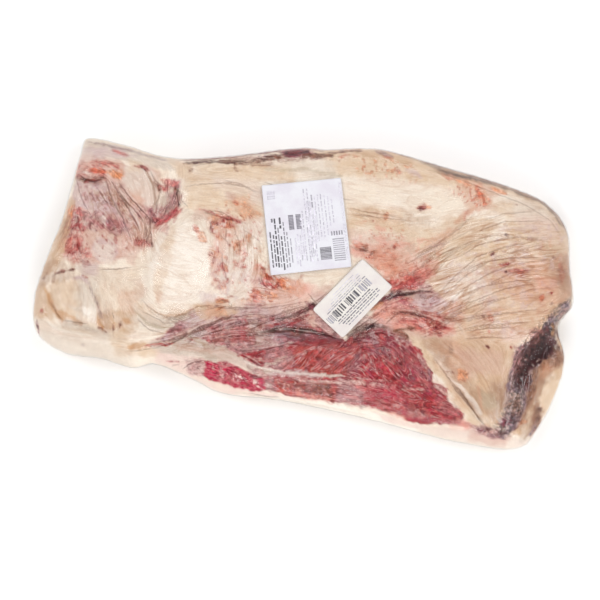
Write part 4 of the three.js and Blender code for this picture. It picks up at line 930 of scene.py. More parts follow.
# Paths that the small wrinkles of the film run along.
FLOW = [
    [(150, -24), (185, 4), (225, 24), (270, 34), (300, 38)], [(128, 32), (165, 60), (210, 82), (262, 92)],
    [(178, -48), (215, -30), (250, -20), (288, -14)], [(100, 66), (150, 90), (205, 116), (250, 118)],
    [(35, 78), (80, 76), (130, 78)], [(30, 108), (90, 106), (160, 120)], [(-60, 112), (0, 126), (60, 132)],
    [(60, 148), (130, 142), (220, 126)], [(-150, 98), (-100, 104), (-50, 104)],
    [(-150, 60), (-100, 68), (-70, 60)], [(-248, 72), (-222, 38), (-200, 5)],
    [(-232, 68), (-196, 32), (-180, 2)], [(-278, 68), (-248, 70)],
    [(-276, 52), (-262, 32), (-246, 14), (-226, 0)], [(-285, 60), (-288, 0), (-300, -50)],
    [(-280, 108), (-230, 106), (-190, 104)], [(-207, 93), (-190, 70), (-187, 40)], [(-190, 28), (-188, -2)],
    [(-168, 90), (-164, 66), (-172, 38), (-184, 22)], [(-240, -36), (-215, -33), (-197, -28)],
    [(-292, -68), (-282, -84), (-266, -102)], [(-262, -46), (-250, -70), (-247, -100)],
    [(-225, -45), (-212, -75), (-206, -105)], [(-295, -122), (-240, -122), (-195, -118)],
    [(-168, -30), (-140, -36), (-108, -34)], [(-162, 10), (-135, 4), (-112, 6)],
    [(-186, -60), (-160, -80), (-130, -76), (-88, -58)],
    [(-80, 45), (-70, 20), (-66, -10), (-76, -35), (-98, -50)],
    [(-114, 38), (-104, 10), (-103, -20), (-110, -48)], [(-52, 16), (-40, -12), (-10, -26)],
    [(-60, -40), (-30, -44), (0, -30)], [(-165, -115), (-130, -101), (-103, -86), (-70, -66), (-40, -58)],
    [(-120, -100), (-80, -96), (-40, -88), (0, -82)], [(-42, -80), (0, -72), (50, -75)],
    [(-26, -62), (-10, -57), (12, -42)], [(-150, -118), (-80, -114), (-45, -122), (0, -123), (100, -126)],
    [(-4, -118), (6, -102), (16, -88)], [(18, -118), (32, -100), (44, -84)],
    [(42, -118), (58, -100), (70, -84)], [(-36, -104), (-20, -96), (-6, -90)],
    [(64, -70), (92, -58), (118, -66), (140, -86), (160, -110)],
    [(80, -76), (98, -72), (114, -84), (132, -106), (160, -120)],
    [(84, -88), (98, -106), (120, -120), (150, -130), (186, -138)], [(60, -116), (96, -130), (140, -140)],
    [(40, -140), (100, -142), (150, -150), (205, -152)], [(85, -28), (105, -10), (130, -5), (155, 6)],
    [(100, -36), (128, -30), (160, -40)], [(168, -62), (200, -84), (222, -112)],
    [(206, -62), (232, -90), (236, -120)], [(176, -102), (200, -122), (228, -152)],
    [(300, 4), (270, -36), (254, -74), (254, -110), (240, -152)], [(290, -60), (292, -90), (278, -130)],
    [(-100, -150), (0, -160), (100, -164), (250, -166)], [(-98, -124), (-60, -132), (-30, -142)],
]

# Where the wrinkles of the film are strong: strength, half size and place or path. And how strong they are
# everywhere else.
WRINKLED_GROUND = 0.28
WRINKLED = [
    (1.0, 34, [(165, -10), (150, 30)]), (0.9, 44, [(200, 60), (260, 40)]),
    (0.7, 24, [(200, -36), (244, -26)]), (0.4, 26, [(110, -90), (160, -130)]),
    (0.45, 24, [(-20, -100), (60, -100)]), (0.7, 22, [(-140, -100), (0, -72)]),
    (1.0, 26, [(-240, 50), (-200, 10)]), (0.7, 24, [(-80, 20), (-40, -30)]),
    (0.5, 16, [(40, 76), (130, 80)]), (1.2, 18, [(290, -10), (262, -50), (256, -100), (240, -145)]),
    (0.5, 14, [(-180, -70), (-120, -78)]), (0.5, 20, [(-210, -100), (-190, -116)]),
    (0.6, 20, [(90, -40), (150, -30)]),
]

# The path of the finely crumpled film over the tucked end.
CRUMPLED = [(302, 4), (284, -14), (268, -38), (255, -58), (251, -90), (256, -114), (242, -150)]

# Ground where the lean shows its pale fibres.
FIBROUS = [
    [(-40, -104), (0, -86), (34, -80), (62, -76), (82, -58), (112, -56), (136, -70), (158, -104),
     (186, -128), (208, -150), (140, -156), (96, -148), (0, -150), (-20, -146), (-30, -116)],
    [(-98, -122), (-60, -122), (-30, -132), (-28, -146), (-60, -150), (-96, -140)],
    [(-284, 60), (-256, 68), (-200, 30), (-190, 0), (-240, -20), (-284, -30)],
    [(-160, -112), (-110, -84), (-60, -66), (0, -60), (0, -78), (-60, -96), (-130, -106)],
]

# Creases pressed into film and meat: depth, half width, path.
CREASES = [
    (1.6, 1.8, [(-248, 72), (-235, 52), (-222, 38), (-212, 22), (-200, 5)]),
    (1.6, 1.8, [(-240, 70), (-226, 52), (-214, 38), (-202, 22), (-190, 2)]),
    (1.6, 1.8, [(-232, 68), (-212, 45), (-196, 32), (-185, 15), (-180, 2)]),
    (2.2, 2.2, [(-207, 93), (-192, 75), (-186, 55), (-187, 40), (-186, 24)]),
    (2.4, 2.4, [(-284, 69), (-262, 67), (-246, 70)]),
    (2.5, 2.4, [(-292, -70), (-282, -84), (-266, -102), (-245, -103), (-230, -105)]),
    (1.6, 1.8, [(-235, -37), (-215, -33), (-197, -28)]),
    (2.0, 2.0, [(-262, -46), (-250, -56), (-236, -72), (-222, -92), (-214, -106)]),
    (2.5, 2.2, [(-220, -100), (-207, -104), (-198, -98)]),
    (1.8, 2.0, [(-178, -66), (-165, -77), (-150, -81), (-130, -73), (-112, -60)]),
    (1.4, 1.8, [(-186, -78), (-168, -90), (-150, -92), (-136, -86)]),
    (1.8, 2.0, [(-146, -107), (-130, -101), (-110, -90), (-98, -81), (-75, -68)]),
    (1.6, 1.8, [(-95, -52), (-70, -57), (-48, -53)]),
    (3.0, 2.6, [(-42, -80), (-20, -75), (0, -72), (15, -71), (35, -75), (52, -76)]),
    (2.2, 2.2, [(-26, -62), (-10, -57), (5, -48), (13, -42)]),
    (3.0, 2.4, [(84, -30), (97, -17), (105, -10), (116, -10), (132, -5)]),
    (2.6, 2.2, [(100, -35), (115, -32), (128, -30), (140, -33), (152, -37)]),
    (1.8, 2.0, [(110, -52), (124, -48), (140, -43), (158, -44), (172, -42)]),
    (1.8, 1.8, [(60, -74), (72, -66), (82, -58), (96, -54)]),
    (1.8, 1.6, [(176, -102), (190, -112), (200, -122), (210, -133), (218, -142), (228, -152)]),
    (1.4, 1.8, [(118, 36), (130, 45), (142, 55), (152, 64)]),
    (1.2, 1.8, [(138, 34), (152, 45), (168, 57)]),
    (1.6, 2.0, [(-134, 52), (-120, 49), (-108, 46), (-96, 46), (-85, 42)]),
    (3.0, 3.0, [(-163, 76), (-164, 56), (-172, 40), (-182, 25)]),
    (1.6, 1.8, [(-122, -138), (-115, -131)]),
    (2.4, 2.2, [(243, -138), (254, -135), (266, -135)]),
    (1.5, 2.2, [(-150, -119), (-80, -117), (-60, -117), (-44, -124), (0, -128), (52, -126)]),
]

# Thin dark lines of juice with painted shade in the finest wrinkles, each with a painted highlight beside
# it: strength and path.
LINES = [
    (0.6, [(-250, 73), (-239, 53), (-220, 28), (-203, 0)]),
    (0.7, [(-243, 72), (-227, 52), (-211, 33), (-197, 15)]),
    (0.7, [(-236, 63), (-218, 46), (-200, 32), (-192, 22)]),
    (0.8, [(-234, 70), (-218, 55), (-198, 39), (-187, 30)]),
    (0.7, [(-193, 29), (-186, -1)]),
    (0.7, [(-188, 30), (-181, 0)]),
    (0.5, [(-284, 66), (-278, 54), (-269, 40), (-260, 29)]),
    (0.8, [(-284, 72), (-274, 67), (-262, 66), (-251, 69)]),
    (0.9, [(-164, 76), (-165, 65), (-163, 57), (-155, 51)]),
    (0.5, [(-185, 78), (-182, 66), (-184, 52), (-183, 38)]),
    (0.8, [(-159, -119), (-142, -111), (-134, -106), (-110, -85), (-95, -78), (-83, -68)]),
    (0.7, [(-123, -108), (-115, -98), (-101, -83), (-93, -78), (-84, -72), (-74, -67)]),
    (0.5, [(-157, -80), (-141, -79), (-128, -72), (-116, -62), (-105, -59), (-87, -59), (-69, -58),
          (-49, -53)]),
    (0.4, [(-172, -71), (-159, -78), (-147, -81), (-134, -76), (-122, -67)]),
    (0.4, [(-180, -77), (-165, -82), (-151, -87), (-133, -83), (-117, -71)]),
    (0.9, [(-31, -74), (-18, -61), (-5, -52), (9, -42), (27, -22)]),
    (0.6, [(-33, -80), (-21, -69), (-4, -62), (11, -52)]),
    (0.6, [(-65, -106), (-47, -102), (-30, -98), (-8, -89), (5, -86)]),
    (0.7, [(-60, -109), (-45, -114), (-33, -120)]),
    (0.5, [(-133, 49), (-119, 47), (-103, 45), (-89, 44), (-81, 42)]),
    (0.5, [(-117, 37), (-118, 27)]),
    (0.35, [(-106, 27), (-99, 20), (-90, 13)]),
    (0.3, [(-85, 38), (-72, 32), (-61, 26), (-54, 19)]),
    (0.5, [(-161, 71), (-157, 59), (-147, 51)]),
    (0.4, [(-111, 89), (-97, 90), (-83, 87), (-72, 81)]),
    (0.9, [(92, -24), (103, -14), (113, -11), (134, -5)]),
    (0.8, [(100, -36), (113, -32), (126, -31), (138, -34), (153, -36)]),
    (0.6, [(79, -47), (93, -31)]),
    (0.6, [(96, -50), (104, -39), (111, -32)]),
    (0.5, [(153, -32), (162, -15), (172, -9)]),
    (0.35, [(107, -7), (129, 28), (152, 56), (184, 81)]),
    (0.3, [(139, 10), (158, 41), (186, 65), (215, 78)]),
    (0.35, [(150, -16), (176, 19), (211, 49), (262, 73)]),
    (0.3, [(164, -30), (193, 6), (228, 32), (280, 48)]),
    (0.3, [(176, -40), (210, -7), (253, 16), (290, 26)]),
    (0.3, [(123, 19), (145, 54), (168, 86)]),
    (0.5, [(133, -54), (150, -44), (171, -29), (195, -9)]),
    (0.6, [(155, -78), (186, -112), (211, -134), (224, -147)]),
    (0.35, [(113, 143), (161, 134), (201, 124), (233, 117), (266, 102), (283, 84)]),
    (0.4, [(-12, 88), (40, 90)]),
    (0.5, [(60, -72), (70, -60), (84, -54), (100, -53)]),
    (0.4, [(64, -78), (76, -66), (92, -60), (112, -62)]),
    (0.4, [(-258, 62), (-244, 46), (-230, 38)]),
    (0.5, [(-200, 90), (-188, 76), (-182, 60)]),
    (0.5, [(-194, 28), (-192, 12), (-191, -2)]),
    (0.5, [(-187, 26), (-186, 10), (-184, -2)]),
    (0.6, [(-235, -37), (-215, -33), (-197, -28)]),
    (0.5, [(-284, -82), (-274, -94), (-266, -102)]),
    (0.45, [(-266, -103), (-250, -103), (-234, -103)]),
    (0.4, [(-211, -84), (-208, -92)]),
    (0.45, [(-182, -126), (-168, -122), (-160, -119)]),
    (0.5, [(-182, -62), (-172, -72), (-158, -79), (-146, -81), (-130, -74), (-114, -62)]),
    (0.5, [(-150, -84), (-136, -80), (-118, -66)]),
    (0.5, [(-182, -86), (-166, -97), (-148, -98)]),
    (0.5, [(-66, 96), (-44, 92)]),
    (0.45, [(-112, 91), (-98, 89)]),
    (0.5, [(-132, 50), (-108, 52), (-94, 46), (-80, 44)]),
    (0.45, [(-100, 36), (-98, 20), (-90, 14)]),
    (0.45, [(-92, 38), (-84, 24), (-78, 8)]),
    (0.45, [(-100, 6), (-96, -12), (-86, -30)]),
    (0.5, [(4, -26), (12, -34), (20, -40)]),
    (0.6, [(-79, -52), (-78, -56)]),
    (0.6, [(-104, -58), (-80, -57), (-62, -55), (-46, -52)]),
    (0.6, [(-166, -116), (-140, -104), (-112, -90), (-84, -72), (-56, -62), (-30, -58)]),
    (0.55, [(-128, -104), (-100, -92), (-76, -80), (-52, -72), (-30, -68)]),
    (0.5, [(-112, -66), (-92, -58), (-66, -56), (-40, -52), (-14, -44), (6, -36)]),
    (0.55, [(-100, -100), (-72, -90), (-44, -84), (-20, -80)]),
    (0.5, [(-60, -70), (-36, -62), (-14, -52), (4, -42)]),
    (0.6, [(-146, -107), (-130, -101), (-120, -97), (-110, -90), (-103, -86)]),
    (0.6, [(-126, -92), (-116, -100), (-120, -106)]),
    (0.6, [(-60, -84), (-38, -80)]),
    (0.75, [(-123, -139), (-116, -131), (-110, -127), (-98, -122)]),
    (0.4, [(-136, -136), (-126, -133)]),
    (0.5, [(-44, -154), (-26, -155), (-8, -153)]),
    (0.5, [(78, -42), (88, -36), (100, -34)]),
    (0.8, [(100, -35), (115, -32), (128, -32), (140, -34), (152, -37)]),
    (0.6, [(140, -58), (150, -52), (164, -48)]),
    (0.5, [(150, -30), (160, -22), (170, -14)]),
    (0.5, [(156, -36), (168, -28), (180, -18)]),
    (0.5, [(118, 36), (130, 45), (142, 55), (152, 64)]),
    (0.6, [(110, 24), (124, 36), (140, 50), (156, 60)]),
    (0.5, [(138, 34), (152, 45), (168, 57)]),
    (0.45, [(112, 10), (128, 24), (144, 40)]),
    (0.4, [(36, 80), (60, 78), (96, 80)]),
    (0.4, [(40, 72), (70, 74), (110, 76)]),
    (0.75, [(176, -102), (190, -112), (200, -122), (210, -133), (218, -142), (228, -152)]),
    (0.45, [(180, -34), (200, -26), (226, -16), (250, -10)]),
    (0.45, [(184, -44), (210, -36), (240, -30)]),
    (0.4, [(186, -52), (212, -46), (246, -42)]),
    (0.45, [(176, -2), (200, 12), (236, 24), (264, 30)]),
    (0.45, [(168, 20), (196, 40), (236, 52), (270, 58)]),
    (0.45, [(160, 36), (190, 60), (224, 74), (262, 80)]),
    (0.4, [(196, 64), (230, 76), (270, 76)]),
    (0.4, [(180, 72), (214, 92), (262, 100)]),
    (0.7, [(49, -74), (64, -60), (83, -41), (100, -24)]),
    (0.6, [(36, -75), (45, -62), (59, -50), (73, -42)]),
    (0.7, [(58, -83), (69, -67), (82, -52), (92, -42)]),
    (0.6, [(49, -86), (59, -73), (72, -58)]),
    (0.8, [(-43, -81), (-13, -75), (28, -74), (47, -76)]),
    (0.6, [(-63, -88), (-50, -77), (-39, -69), (-21, -60), (-3, -53)]),
    (0.6, [(-32, -63), (-19, -52), (-4, -46), (9, -40)]),
    (0.5, [(-31, -71), (-13, -65), (5, -54), (16, -50)]),
    (0.5, [(14, -60), (26, -66), (40, -76)]),
    (0.4, [(118, 27), (139, 51), (164, 75), (181, 99)]),
    (0.45, [(149, -7), (167, 19), (188, 45), (217, 61), (258, 77)]),
    (0.4, [(157, -19), (180, 7), (207, 30), (240, 46), (274, 56)]),
    (0.45, [(163, -31), (186, -10), (223, 12), (264, 27)]),
    (0.4, [(132, 9), (146, 31), (169, 56), (198, 72), (236, 80)]),
    (0.5, [(152, -42), (175, -23), (203, -7), (236, 7)]),
    (0.5, [(145, -56), (168, -35), (197, -24), (239, -13), (268, -4)]),
    (0.4, [(170, -48), (198, -35), (228, -28), (259, -21)]),
    (0.35, [(183, 85), (212, 101), (250, 110)]),
    (0.5, [(-156, 76), (-136, 82), (-112, 87), (-87, 87), (-66, 81)]),
    (0.4, [(-158, 101), (-125, 112), (-108, 112)]),
]


def smooth(low, high, value):
    t = np.clip((value - low) / (high - low), 0, 1)
    return t * t * (3 - 2 * t)


def turned(x, y, angle):
    """Coordinates of (x, y) in a frame turned by an angle in degrees."""
    c, s = math.cos(math.radians(angle)), math.sin(math.radians(angle))
    return x * c + y * s, y * c - x * s


def on_segment(x, y, a, b):
    """Distance to the segment from a to b, and how far along it the nearest place is, 0 to 1."""
    dx, dy = b - a
    t = np.clip(((x - a[0]) * dx + (y - a[1]) * dy) / max(dx * dx + dy * dy, 1e-9), 0, 1)
    return np.hypot(x - a[0] - t * dx, y - a[1] - t * dy), t


def nearest_on_run(x, y, run, closed=False):
    """Distance to the nearest place on a run of points, and how far along the run that is, 0 to 1."""
    stops = np.vstack([run, run[:1]]) if closed else np.asarray(run, float)
    best = np.full(x.shape, np.inf)
    along = np.zeros(x.shape)
    for i, (a, b) in enumerate(zip(stops[:-1], stops[1:])):
        distance, t = on_segment(x, y, a, b)
        nearer = distance < best
        best[nearer] = distance[nearer]
        along[nearer] = (i + t[nearer]) / (len(stops) - 1)
    return best, along


def around_run(x, y, run, margin):
    """Indices of the points in a run's box, widened by a margin."""
    left, low = run.min(axis=0) - margin
    right, high = run.max(axis=0) + margin
    return np.flatnonzero((x > left) & (x < right) & (y > low) & (y < high))


def inside_run(x, y, run):
    """True inside a closed run of points."""
    inside = np.zeros(x.shape, bool)
    for (ax, ay), (bx, by) in zip(run, np.roll(run, -1, axis=0)):
        if ay == by:
            continue
        crosses = ((ay > y) != (by > y)) & (x < (bx - ax) * (y - ay) / (by - ay) + ax)
        inside ^= crosses
    return inside


def signed_distance(x, y, run):
    """Distance to a closed run of points, negative inside it."""
    distance, _ = nearest_on_run(x, y, run, closed=True)
    return np.where(inside_run(x, y, run), -distance, distance)


def inside_any(x, y, runs, soft):
    """1 inside any of the closed runs and 0 from soft outside them."""
    distances = (signed_distance(x, y, np.array(run, float)) for run in runs)
    return np.max([smooth(soft, -soft, distance) for distance in distances], axis=0)


def closed_outline():
    """The outline as a closed centripetal Catmull-Rom curve in short steps, centred on its own box."""
    here = np.array(OUTLINE, float)
    before, after, later = (np.roll(here, k, axis=0) for k in (1, -1, -2))
    gap = np.sqrt(np.linalg.norm(after - here, axis=1))[:, None]
    gap0, gap2 = np.roll(gap, 1, axis=0), np.roll(gap, -1, axis=0)
    leave = ((here - before) / gap0 - (after - before) / (gap0 + gap) + (after - here) / gap) * gap
    arrive = ((after - here) / gap - (later - here) / (gap + gap2) + (later - after) / gap2) * gap
    t = (np.arange(CURVE_STEPS) / CURVE_STEPS)[None, :, None]
    c2 = -3 * here + 3 * after - 2 * leave - arrive
    c3 = 2 * here - 2 * after + leave + arrive
    points = here[:, None] + leave[:, None] * t + c2[:, None] * t**2 + c3[:, None] * t**3
    points = points.reshape(-1, 2)
    return points - (points.min(axis=0) + points.max(axis=0)) / 2


outline = closed_outline()


def under_labels(x, y, margin=LABEL_MARGIN):
    """1 under a label and 0 a little way outside it."""
    most = np.zeros(x.shape)
    for label_x, label_y, width, height, turn in LABELS.values():
        u, v = turned(x - label_x, y - label_y, turn)
        outside = np.hypot(np.maximum(np.abs(u) - width / 2, 0), np.maximum(np.abs(v) - height / 2, 0))
        most = np.maximum(most, 1 - smooth(0, margin, outside))
    return most


def nearest_line(x, y, lines):
    """Distance to the nearest line, negative on its right, and how strong that line is at each point."""
    nearest = np.full(x.shape, LINE_REACH)
    side = np.ones(x.shape)
    strong = np.zeros(x.shape)
    for strength, path in lines:
        run = np.array(path, float)
        near = around_run(x, y, run, LINE_REACH)
        for i, (a, b) in enumerate(zip(run[:-1], run[1:])):
            distance, t = on_segment(x[near], y[near], a, b)
            nearer = distance < nearest[near]
            chosen = near[nearer]
            nearest[chosen] = distance[nearer]
            dx, dy = b - a
            side[chosen] = np.where((x[chosen] - a[0]) * dy - (y[chosen] - a[1]) * dx > 0, -1, 1)
            along = (i + t[nearer]) / (len(run) - 1)
            strong[chosen] = strength * (1 - np.abs(2 * along - 1) ** 4)
    return nearest * side, strong * smooth(LINE_FADE[1], LINE_FADE[0], nearest)


def pressed_depth(x, y, paths):
    """Depth of the folds or creases at each point. Each one fades out at its ends."""
    depth = np.zeros(x.shape)
    for deep, half, path in paths:
        run = np.array(path, float)
        near = around_run(x, y, run, 3 * half)
        distance, along = nearest_on_run(x[near], y[near], run)
        depth[near] += deep * np.sqrt(np.sin(np.pi * along)) * np.exp(-((distance / half) ** 2))
    return depth


def top_height(x, y):
    rise = np.zeros(x.shape)
    for _, lobe_x, lobe_y, long, wide, turn, lift, brow in LOBES:
        u, v = turned(x - lobe_x, y - lobe_y, turn)
        reach = np.minimum(1, np.hypot(u / long, v / wide))
        rise += lift * (1 - reach**brow) ** 2
    depth = pressed_depth(x, y, [(deep, half, path) for _, half, deep, path in FOLDS])
    thickness = BODY_THICKNESS + rise - depth * (1 - LABEL_PRESS * under_labels(x, y))
    distance, _ = nearest_on_run(x, y, outline, closed=True)
    share = 1 - np.minimum(1, distance / SHOULDER)
    return RIM_HEIGHT + (thickness - RIM_HEIGHT) * np.sqrt(1 - share * share)


def rim_points():
    """Points on the outline opposite the points of the core's border, in the same order."""
    stops = [CORNERS[name] for name in ("back left", "back right", "front right", "front left", "back left")]
    points = []
    for first, last, count in zip(stops[:-1], stops[1:], (CELLS_X, CELLS_Y, CELLS_X, CELLS_Y)):
        last = last if last > first else last + len(OUTLINE)
        run = outline[np.arange(first * CURVE_STEPS, last * CURVE_STEPS + 1) % len(outline)]
        reach = np.concatenate([[0], np.cumsum(np.linalg.norm(np.diff(run, axis=0), axis=1))])
        wanted = reach[-1] * np.arange(count) / count
        points.append(np.stack([np.interp(wanted, reach, run[:, k]) for k in (0, 1)], axis=1))
    return np.concatenate(points)


def border_indices(columns, rows):
    """Indices of a grid's border points, row by row from the back left: back, right, front, left."""
    index = np.arange((columns + 1) * (rows + 1)).reshape(rows + 1, columns + 1)
    return np.concatenate([index[0, :-1], index[:-1, -1], index[-1, :0:-1], index[:0:-1, 0]])


def core_grid(columns, rows):
    x = np.linspace(CORE["left"], CORE["right"], columns + 1)
    y = np.linspace(CORE["back"], CORE["front"], rows + 1)
    return np.stack([a.ravel() for a in np.meshgrid(x, y)], axis=1)


def grid_faces(columns, rows, start, upward):
    index = start + np.arange((columns + 1) * (rows + 1)).reshape(rows + 1, columns + 1)
    corners = [index[:-1, :-1], index[1:, :-1], index[1:, 1:], index[:-1, 1:]]
    quads = np.stack(corners, axis=-1).reshape(-1, 4)
    return quads if upward else quads[:, ::-1]


def ring_faces(outer, inner):
    return np.stack([outer, inner, np.roll(inner, -1), np.roll(outer, -1)], axis=1)


class Surface:
    """Points in millimetres with the quads and triangles between them."""

    def __init__(self):
        self.points = []
        self.quads = []
        self.triangles = []

    def add(self, plan, height):
        """Indices of new points over places of the plan, at one height or at one for each."""
        start = sum(len(p) for p in self.points)
        self.points.append(np.column_stack([plan, np.broadcast_to(height, len(plan))]))
        return np.arange(start, start + len(plan))


def build_shoulder(surface, rim, inward, reach, border):
    """Rings from the rim up to the core's border. Gives the ring on the rim."""
    angles = np.radians(np.linspace(0, 90, SHOULDER_RINGS + 1))
    insets = [np.full(len(rim), SHOULDER * (1 - math.cos(a))) for a in angles[1:]]
    insets += [SHOULDER + (reach - SHOULDER) * k / FLANK_RINGS for k in range(1, FLANK_RINGS)]
    rings = [surface.add(rim, RIM_HEIGHT)]
    for inset in insets:
        plan = rim + inward * inset[:, None]
        rings.append(surface.add(plan, top_height(plan[:, 0], plan[:, 1])))
    rings.append(border)
    surface.quads += [ring_faces(a, b) for a, b in zip(rings[:-1], rings[1:])]
    return rings[0]


def join_rim(surface, whole, half):
    """Triangles from the rim's ring to the ring below it, which has half as many points."""
    even, odd, later = whole[::2], whole[1::2], np.roll(whole, -2)[::2]
    after = np.roll(half, -1)
    for corners in ((even, odd, half), (odd, after, half), (odd, later, after)):
        surface.triangles.append(np.stack(corners, axis=1))


def build_foot(surface, rim, inward, rim_ring):
    """Rings of the rounded foot, with every second point of the rim. Gives the lowest one."""
    ring = None
    for k in range(1, FOOT_RINGS + 1):
        angle = math.radians(90 * k / FOOT_RINGS)
        plan = rim + inward * FOOT * (1 - math.cos(angle))
        below = surface.add(plan, RIM_HEIGHT * (1 - math.sin(angle)))
        if ring is None:
            join_rim(surface, rim_ring, below)
        else:
            surface.quads.append(ring_faces(below, ring))
        ring = below
    return ring


def build_underside(surface, foot_plan, ring):
    """The flat underside: rings from the foot to a coarser core."""
    columns, rows = CELLS_X // 2, CELLS_Y // 2
    core = core_grid(columns, rows)
    border = border_indices(columns, rows)
    for k in range(1, UNDER_RINGS):
        plan = foot_plan + (core[border] - foot_plan) * k / UNDER_RINGS
        inner = surface.add(plan, 0)
        surface.quads.append(ring_faces(inner, ring))
        ring = inner
    start = surface.add(core, 0)[0]
    surface.quads.append(ring_faces(start + border, ring))
    surface.quads.append(grid_faces(columns, rows, start, upward=False))


def build_form():
    """The pack's surface as points, quads and triangles."""
    surface = Surface()
    core = core_grid(CELLS_X, CELLS_Y)
    surface.add(core, top_height(core[:, 0], core[:, 1]))
    surface.quads.append(grid_faces(CELLS_X, CELLS_Y, 0, upward=True))
    border = border_indices(CELLS_X, CELLS_Y)
    rim = rim_points()
    reach = np.linalg.norm(core[border] - rim, axis=1)
    inward = (core[border] - rim) / reach[:, None]
    rim_ring = build_shoulder(surface, rim, inward, reach, border)
    rim, inward = rim[::2], inward[::2]
    foot_ring = build_foot(surface, rim, inward, rim_ring)
    build_underside(surface, rim + inward * FOOT, foot_ring)
    return [np.concatenate(part) for part in (surface.points, surface.quads, surface.triangles)]


def vertex_normals(points, quads, triangles):
    normals = np.zeros(points.shape)
    for faces, a, b, c, d in ((quads, 0, 2, 1, 3), (triangles, 0, 1, 0, 2)):
        p = points[faces]
        across = np.cross(p[:, b] - p[:, a], p[:, d] - p[:, c])
        for k in range(faces.shape[1]):
            for axis in range(3):
                normals[:, axis] += np.bincount(faces[:, k], across[:, axis], len(points))
    return normals / np.maximum(np.linalg.norm(normals, axis=1), 1e-12)[:, None]


def lattice_noise(points, size, seed, octaves=1):
    """Smooth noise from about -1 to 1 on a lattice with cells of a size, in two or three dimensions."""
    coordinates = points / size
    total, weight = np.zeros(len(coordinates)), 0
    for octave in range(octaves):
        random = np.random.default_rng(seed + octave)
        table = random.uniform(-1, 1, (LATTICE,) * coordinates.shape[1])
        scaled = coordinates * 2**octave + 17.3 * octave
        cell = np.floor(scaled).astype(int)
        t = scaled - cell
        t = t * t * (3 - 2 * t)
        value = np.zeros(len(coordinates))
        for corner in np.ndindex((2,) * coordinates.shape[1]):
            share = np.prod(np.where(np.array(corner), t, 1 - t), axis=1)
            value += share * table[tuple(((cell + corner) % LATTICE).T)]
        total += value * 1.6 / 2**octave
        weight += 1 / 2**octave
    return total / weight


def wrinkle_strength(x, y):
    """How strong the small wrinkles are at each point."""
    strong = np.full(x.shape, WRINKLED_GROUND)
    for strength, size, path in WRINKLED:
        distance, _ = nearest_on_run(x, y, np.array(path, float))
        strong = np.maximum(strong, strength * np.exp(-((distance / size) ** 2)))
    return strong


# The plan's box that the rasters of noise and direction cover, the steps of both and of the smearing, and
# how far each path of FLOW blurs into its surroundings.
PLAN = {"left": -325, "right": 325, "front": -190, "back": 180}
FLOW_STEP = 3
NOISE_STEP = 0.8
SMEAR_STEP = 1.5
FLOW_BLUR = 4


def plan_axes(step):
    across = np.arange(PLAN["left"], PLAN["right"] + step, step)
    return across, np.arange(PLAN["front"], PLAN["back"] + step, step)


def between(raster, u, v):
    """A raster's values at places counted in its cells, by bilinear interpolation."""
    rows, columns = raster.shape
    u = np.clip(u, 0, columns - 1.001)
    v = np.clip(v, 0, rows - 1.001)
    i, j = u.astype(int), v.astype(int)
    s, t = u - i, v - j
    near = raster[j, i] * (1 - s) + raster[j, i + 1] * s
    return near * (1 - t) + (raster[j + 1, i] * (1 - s) + raster[j + 1, i + 1] * s) * t


def sample(raster, step, x, y):
    """Values of a raster of the plan at places on it."""
    return between(raster, (x - PLAN["left"]) / step, (y - PLAN["front"]) / step)


def flow_field():
    """Cosine and sine of twice the wrinkles' direction over the plan."""
    x, y = np.meshgrid(*plan_axes(FLOW_STEP))
    double = np.zeros(x.shape, complex)
    for path in FLOW:
        run = np.array(path, float)
        for a, b in zip(run[:-1], run[1:]):
            distance, _ = nearest_on_run(x, y, np.array([a, b]))
            direction = complex(*(b - a)) ** 2
            double += direction / abs(direction) / (distance**2 + FLOW_BLUR**2) ** 1.5
    double /= np.abs(double)
    return double.real, double.imag


def smeared_noise(field, grain, length, seed, at_x, at_y):
    """Noise of a grain smeared along the field over a length both ways, with mean 0 and deviation 1."""
    across, up = plan_axes(NOISE_STEP)
    white = np.random.default_rng(seed).standard_normal((len(up), len(across)))
    waves = np.meshgrid(np.fft.rfftfreq(len(across), NOISE_STEP), np.fft.fftfreq(len(up), NOISE_STEP))
    blur = np.exp(-2 * (np.pi * grain * np.hypot(*waves)) ** 2)
    soft = np.fft.irfft2(np.fft.rfft2(white) * blur, white.shape)
    total = sample(soft, NOISE_STEP, at_x, at_y)
    for way in (1.0, -1.0):
        x, y = at_x, at_y
        before_x, before_y = None, None
        for k in range(int(length / SMEAR_STEP)):
            angle = np.arctan2(sample(field[1], FLOW_STEP, x, y), sample(field[0], FLOW_STEP, x, y)) / 2
            dx, dy = np.cos(angle), np.sin(angle)
            # The direction has no sign, so each step keeps the way of the one before it.
            flip = way if before_x is None else np.where(dx * before_x + dy * before_y < 0, -1.0, 1.0)
            before_x, before_y = dx * flip, dy * flip
            x = x + before_x * SMEAR_STEP
            y = y + before_y * SMEAR_STEP
            fade = 1 + math.cos(math.pi * k * SMEAR_STEP / length)
            total += sample(soft, NOISE_STEP, x, y) * 0.5 * fade
    return (total - total.mean()) / total.std()


def paint_share(kind, size, places, x, y, blotch, streaky, seed):
    """How far a stroke or field of colour covers each point, 0 to 1."""
    if kind == "streak":
        distance, along = nearest_on_run(x, y, places)
        distance = distance - size * (1 - 0.5 * np.abs(2 * along - 1) ** 3)
        soft = 0.6 * size + 1
    else:
        distance = signed_distance(x, y, places)
        soft = size if kind == "area" else FLECK_EDGE
    share = np.clip(0.5 - distance / (2 * soft), 0, 1)
    if kind == "flecks":
        grain, cover = size
        islands = lattice_noise(np.column_stack([x, y]), grain, seed, 2) + 0.35 * streaky
        level = np.quantile(islands, 1 - cover)
        return share * smooth(level - 0.08, level + 0.28, islands)
    share = np.clip(share * 1.6 - 0.6 * blotch, 0, 1)
    return share * share * (3 - 2 * share)


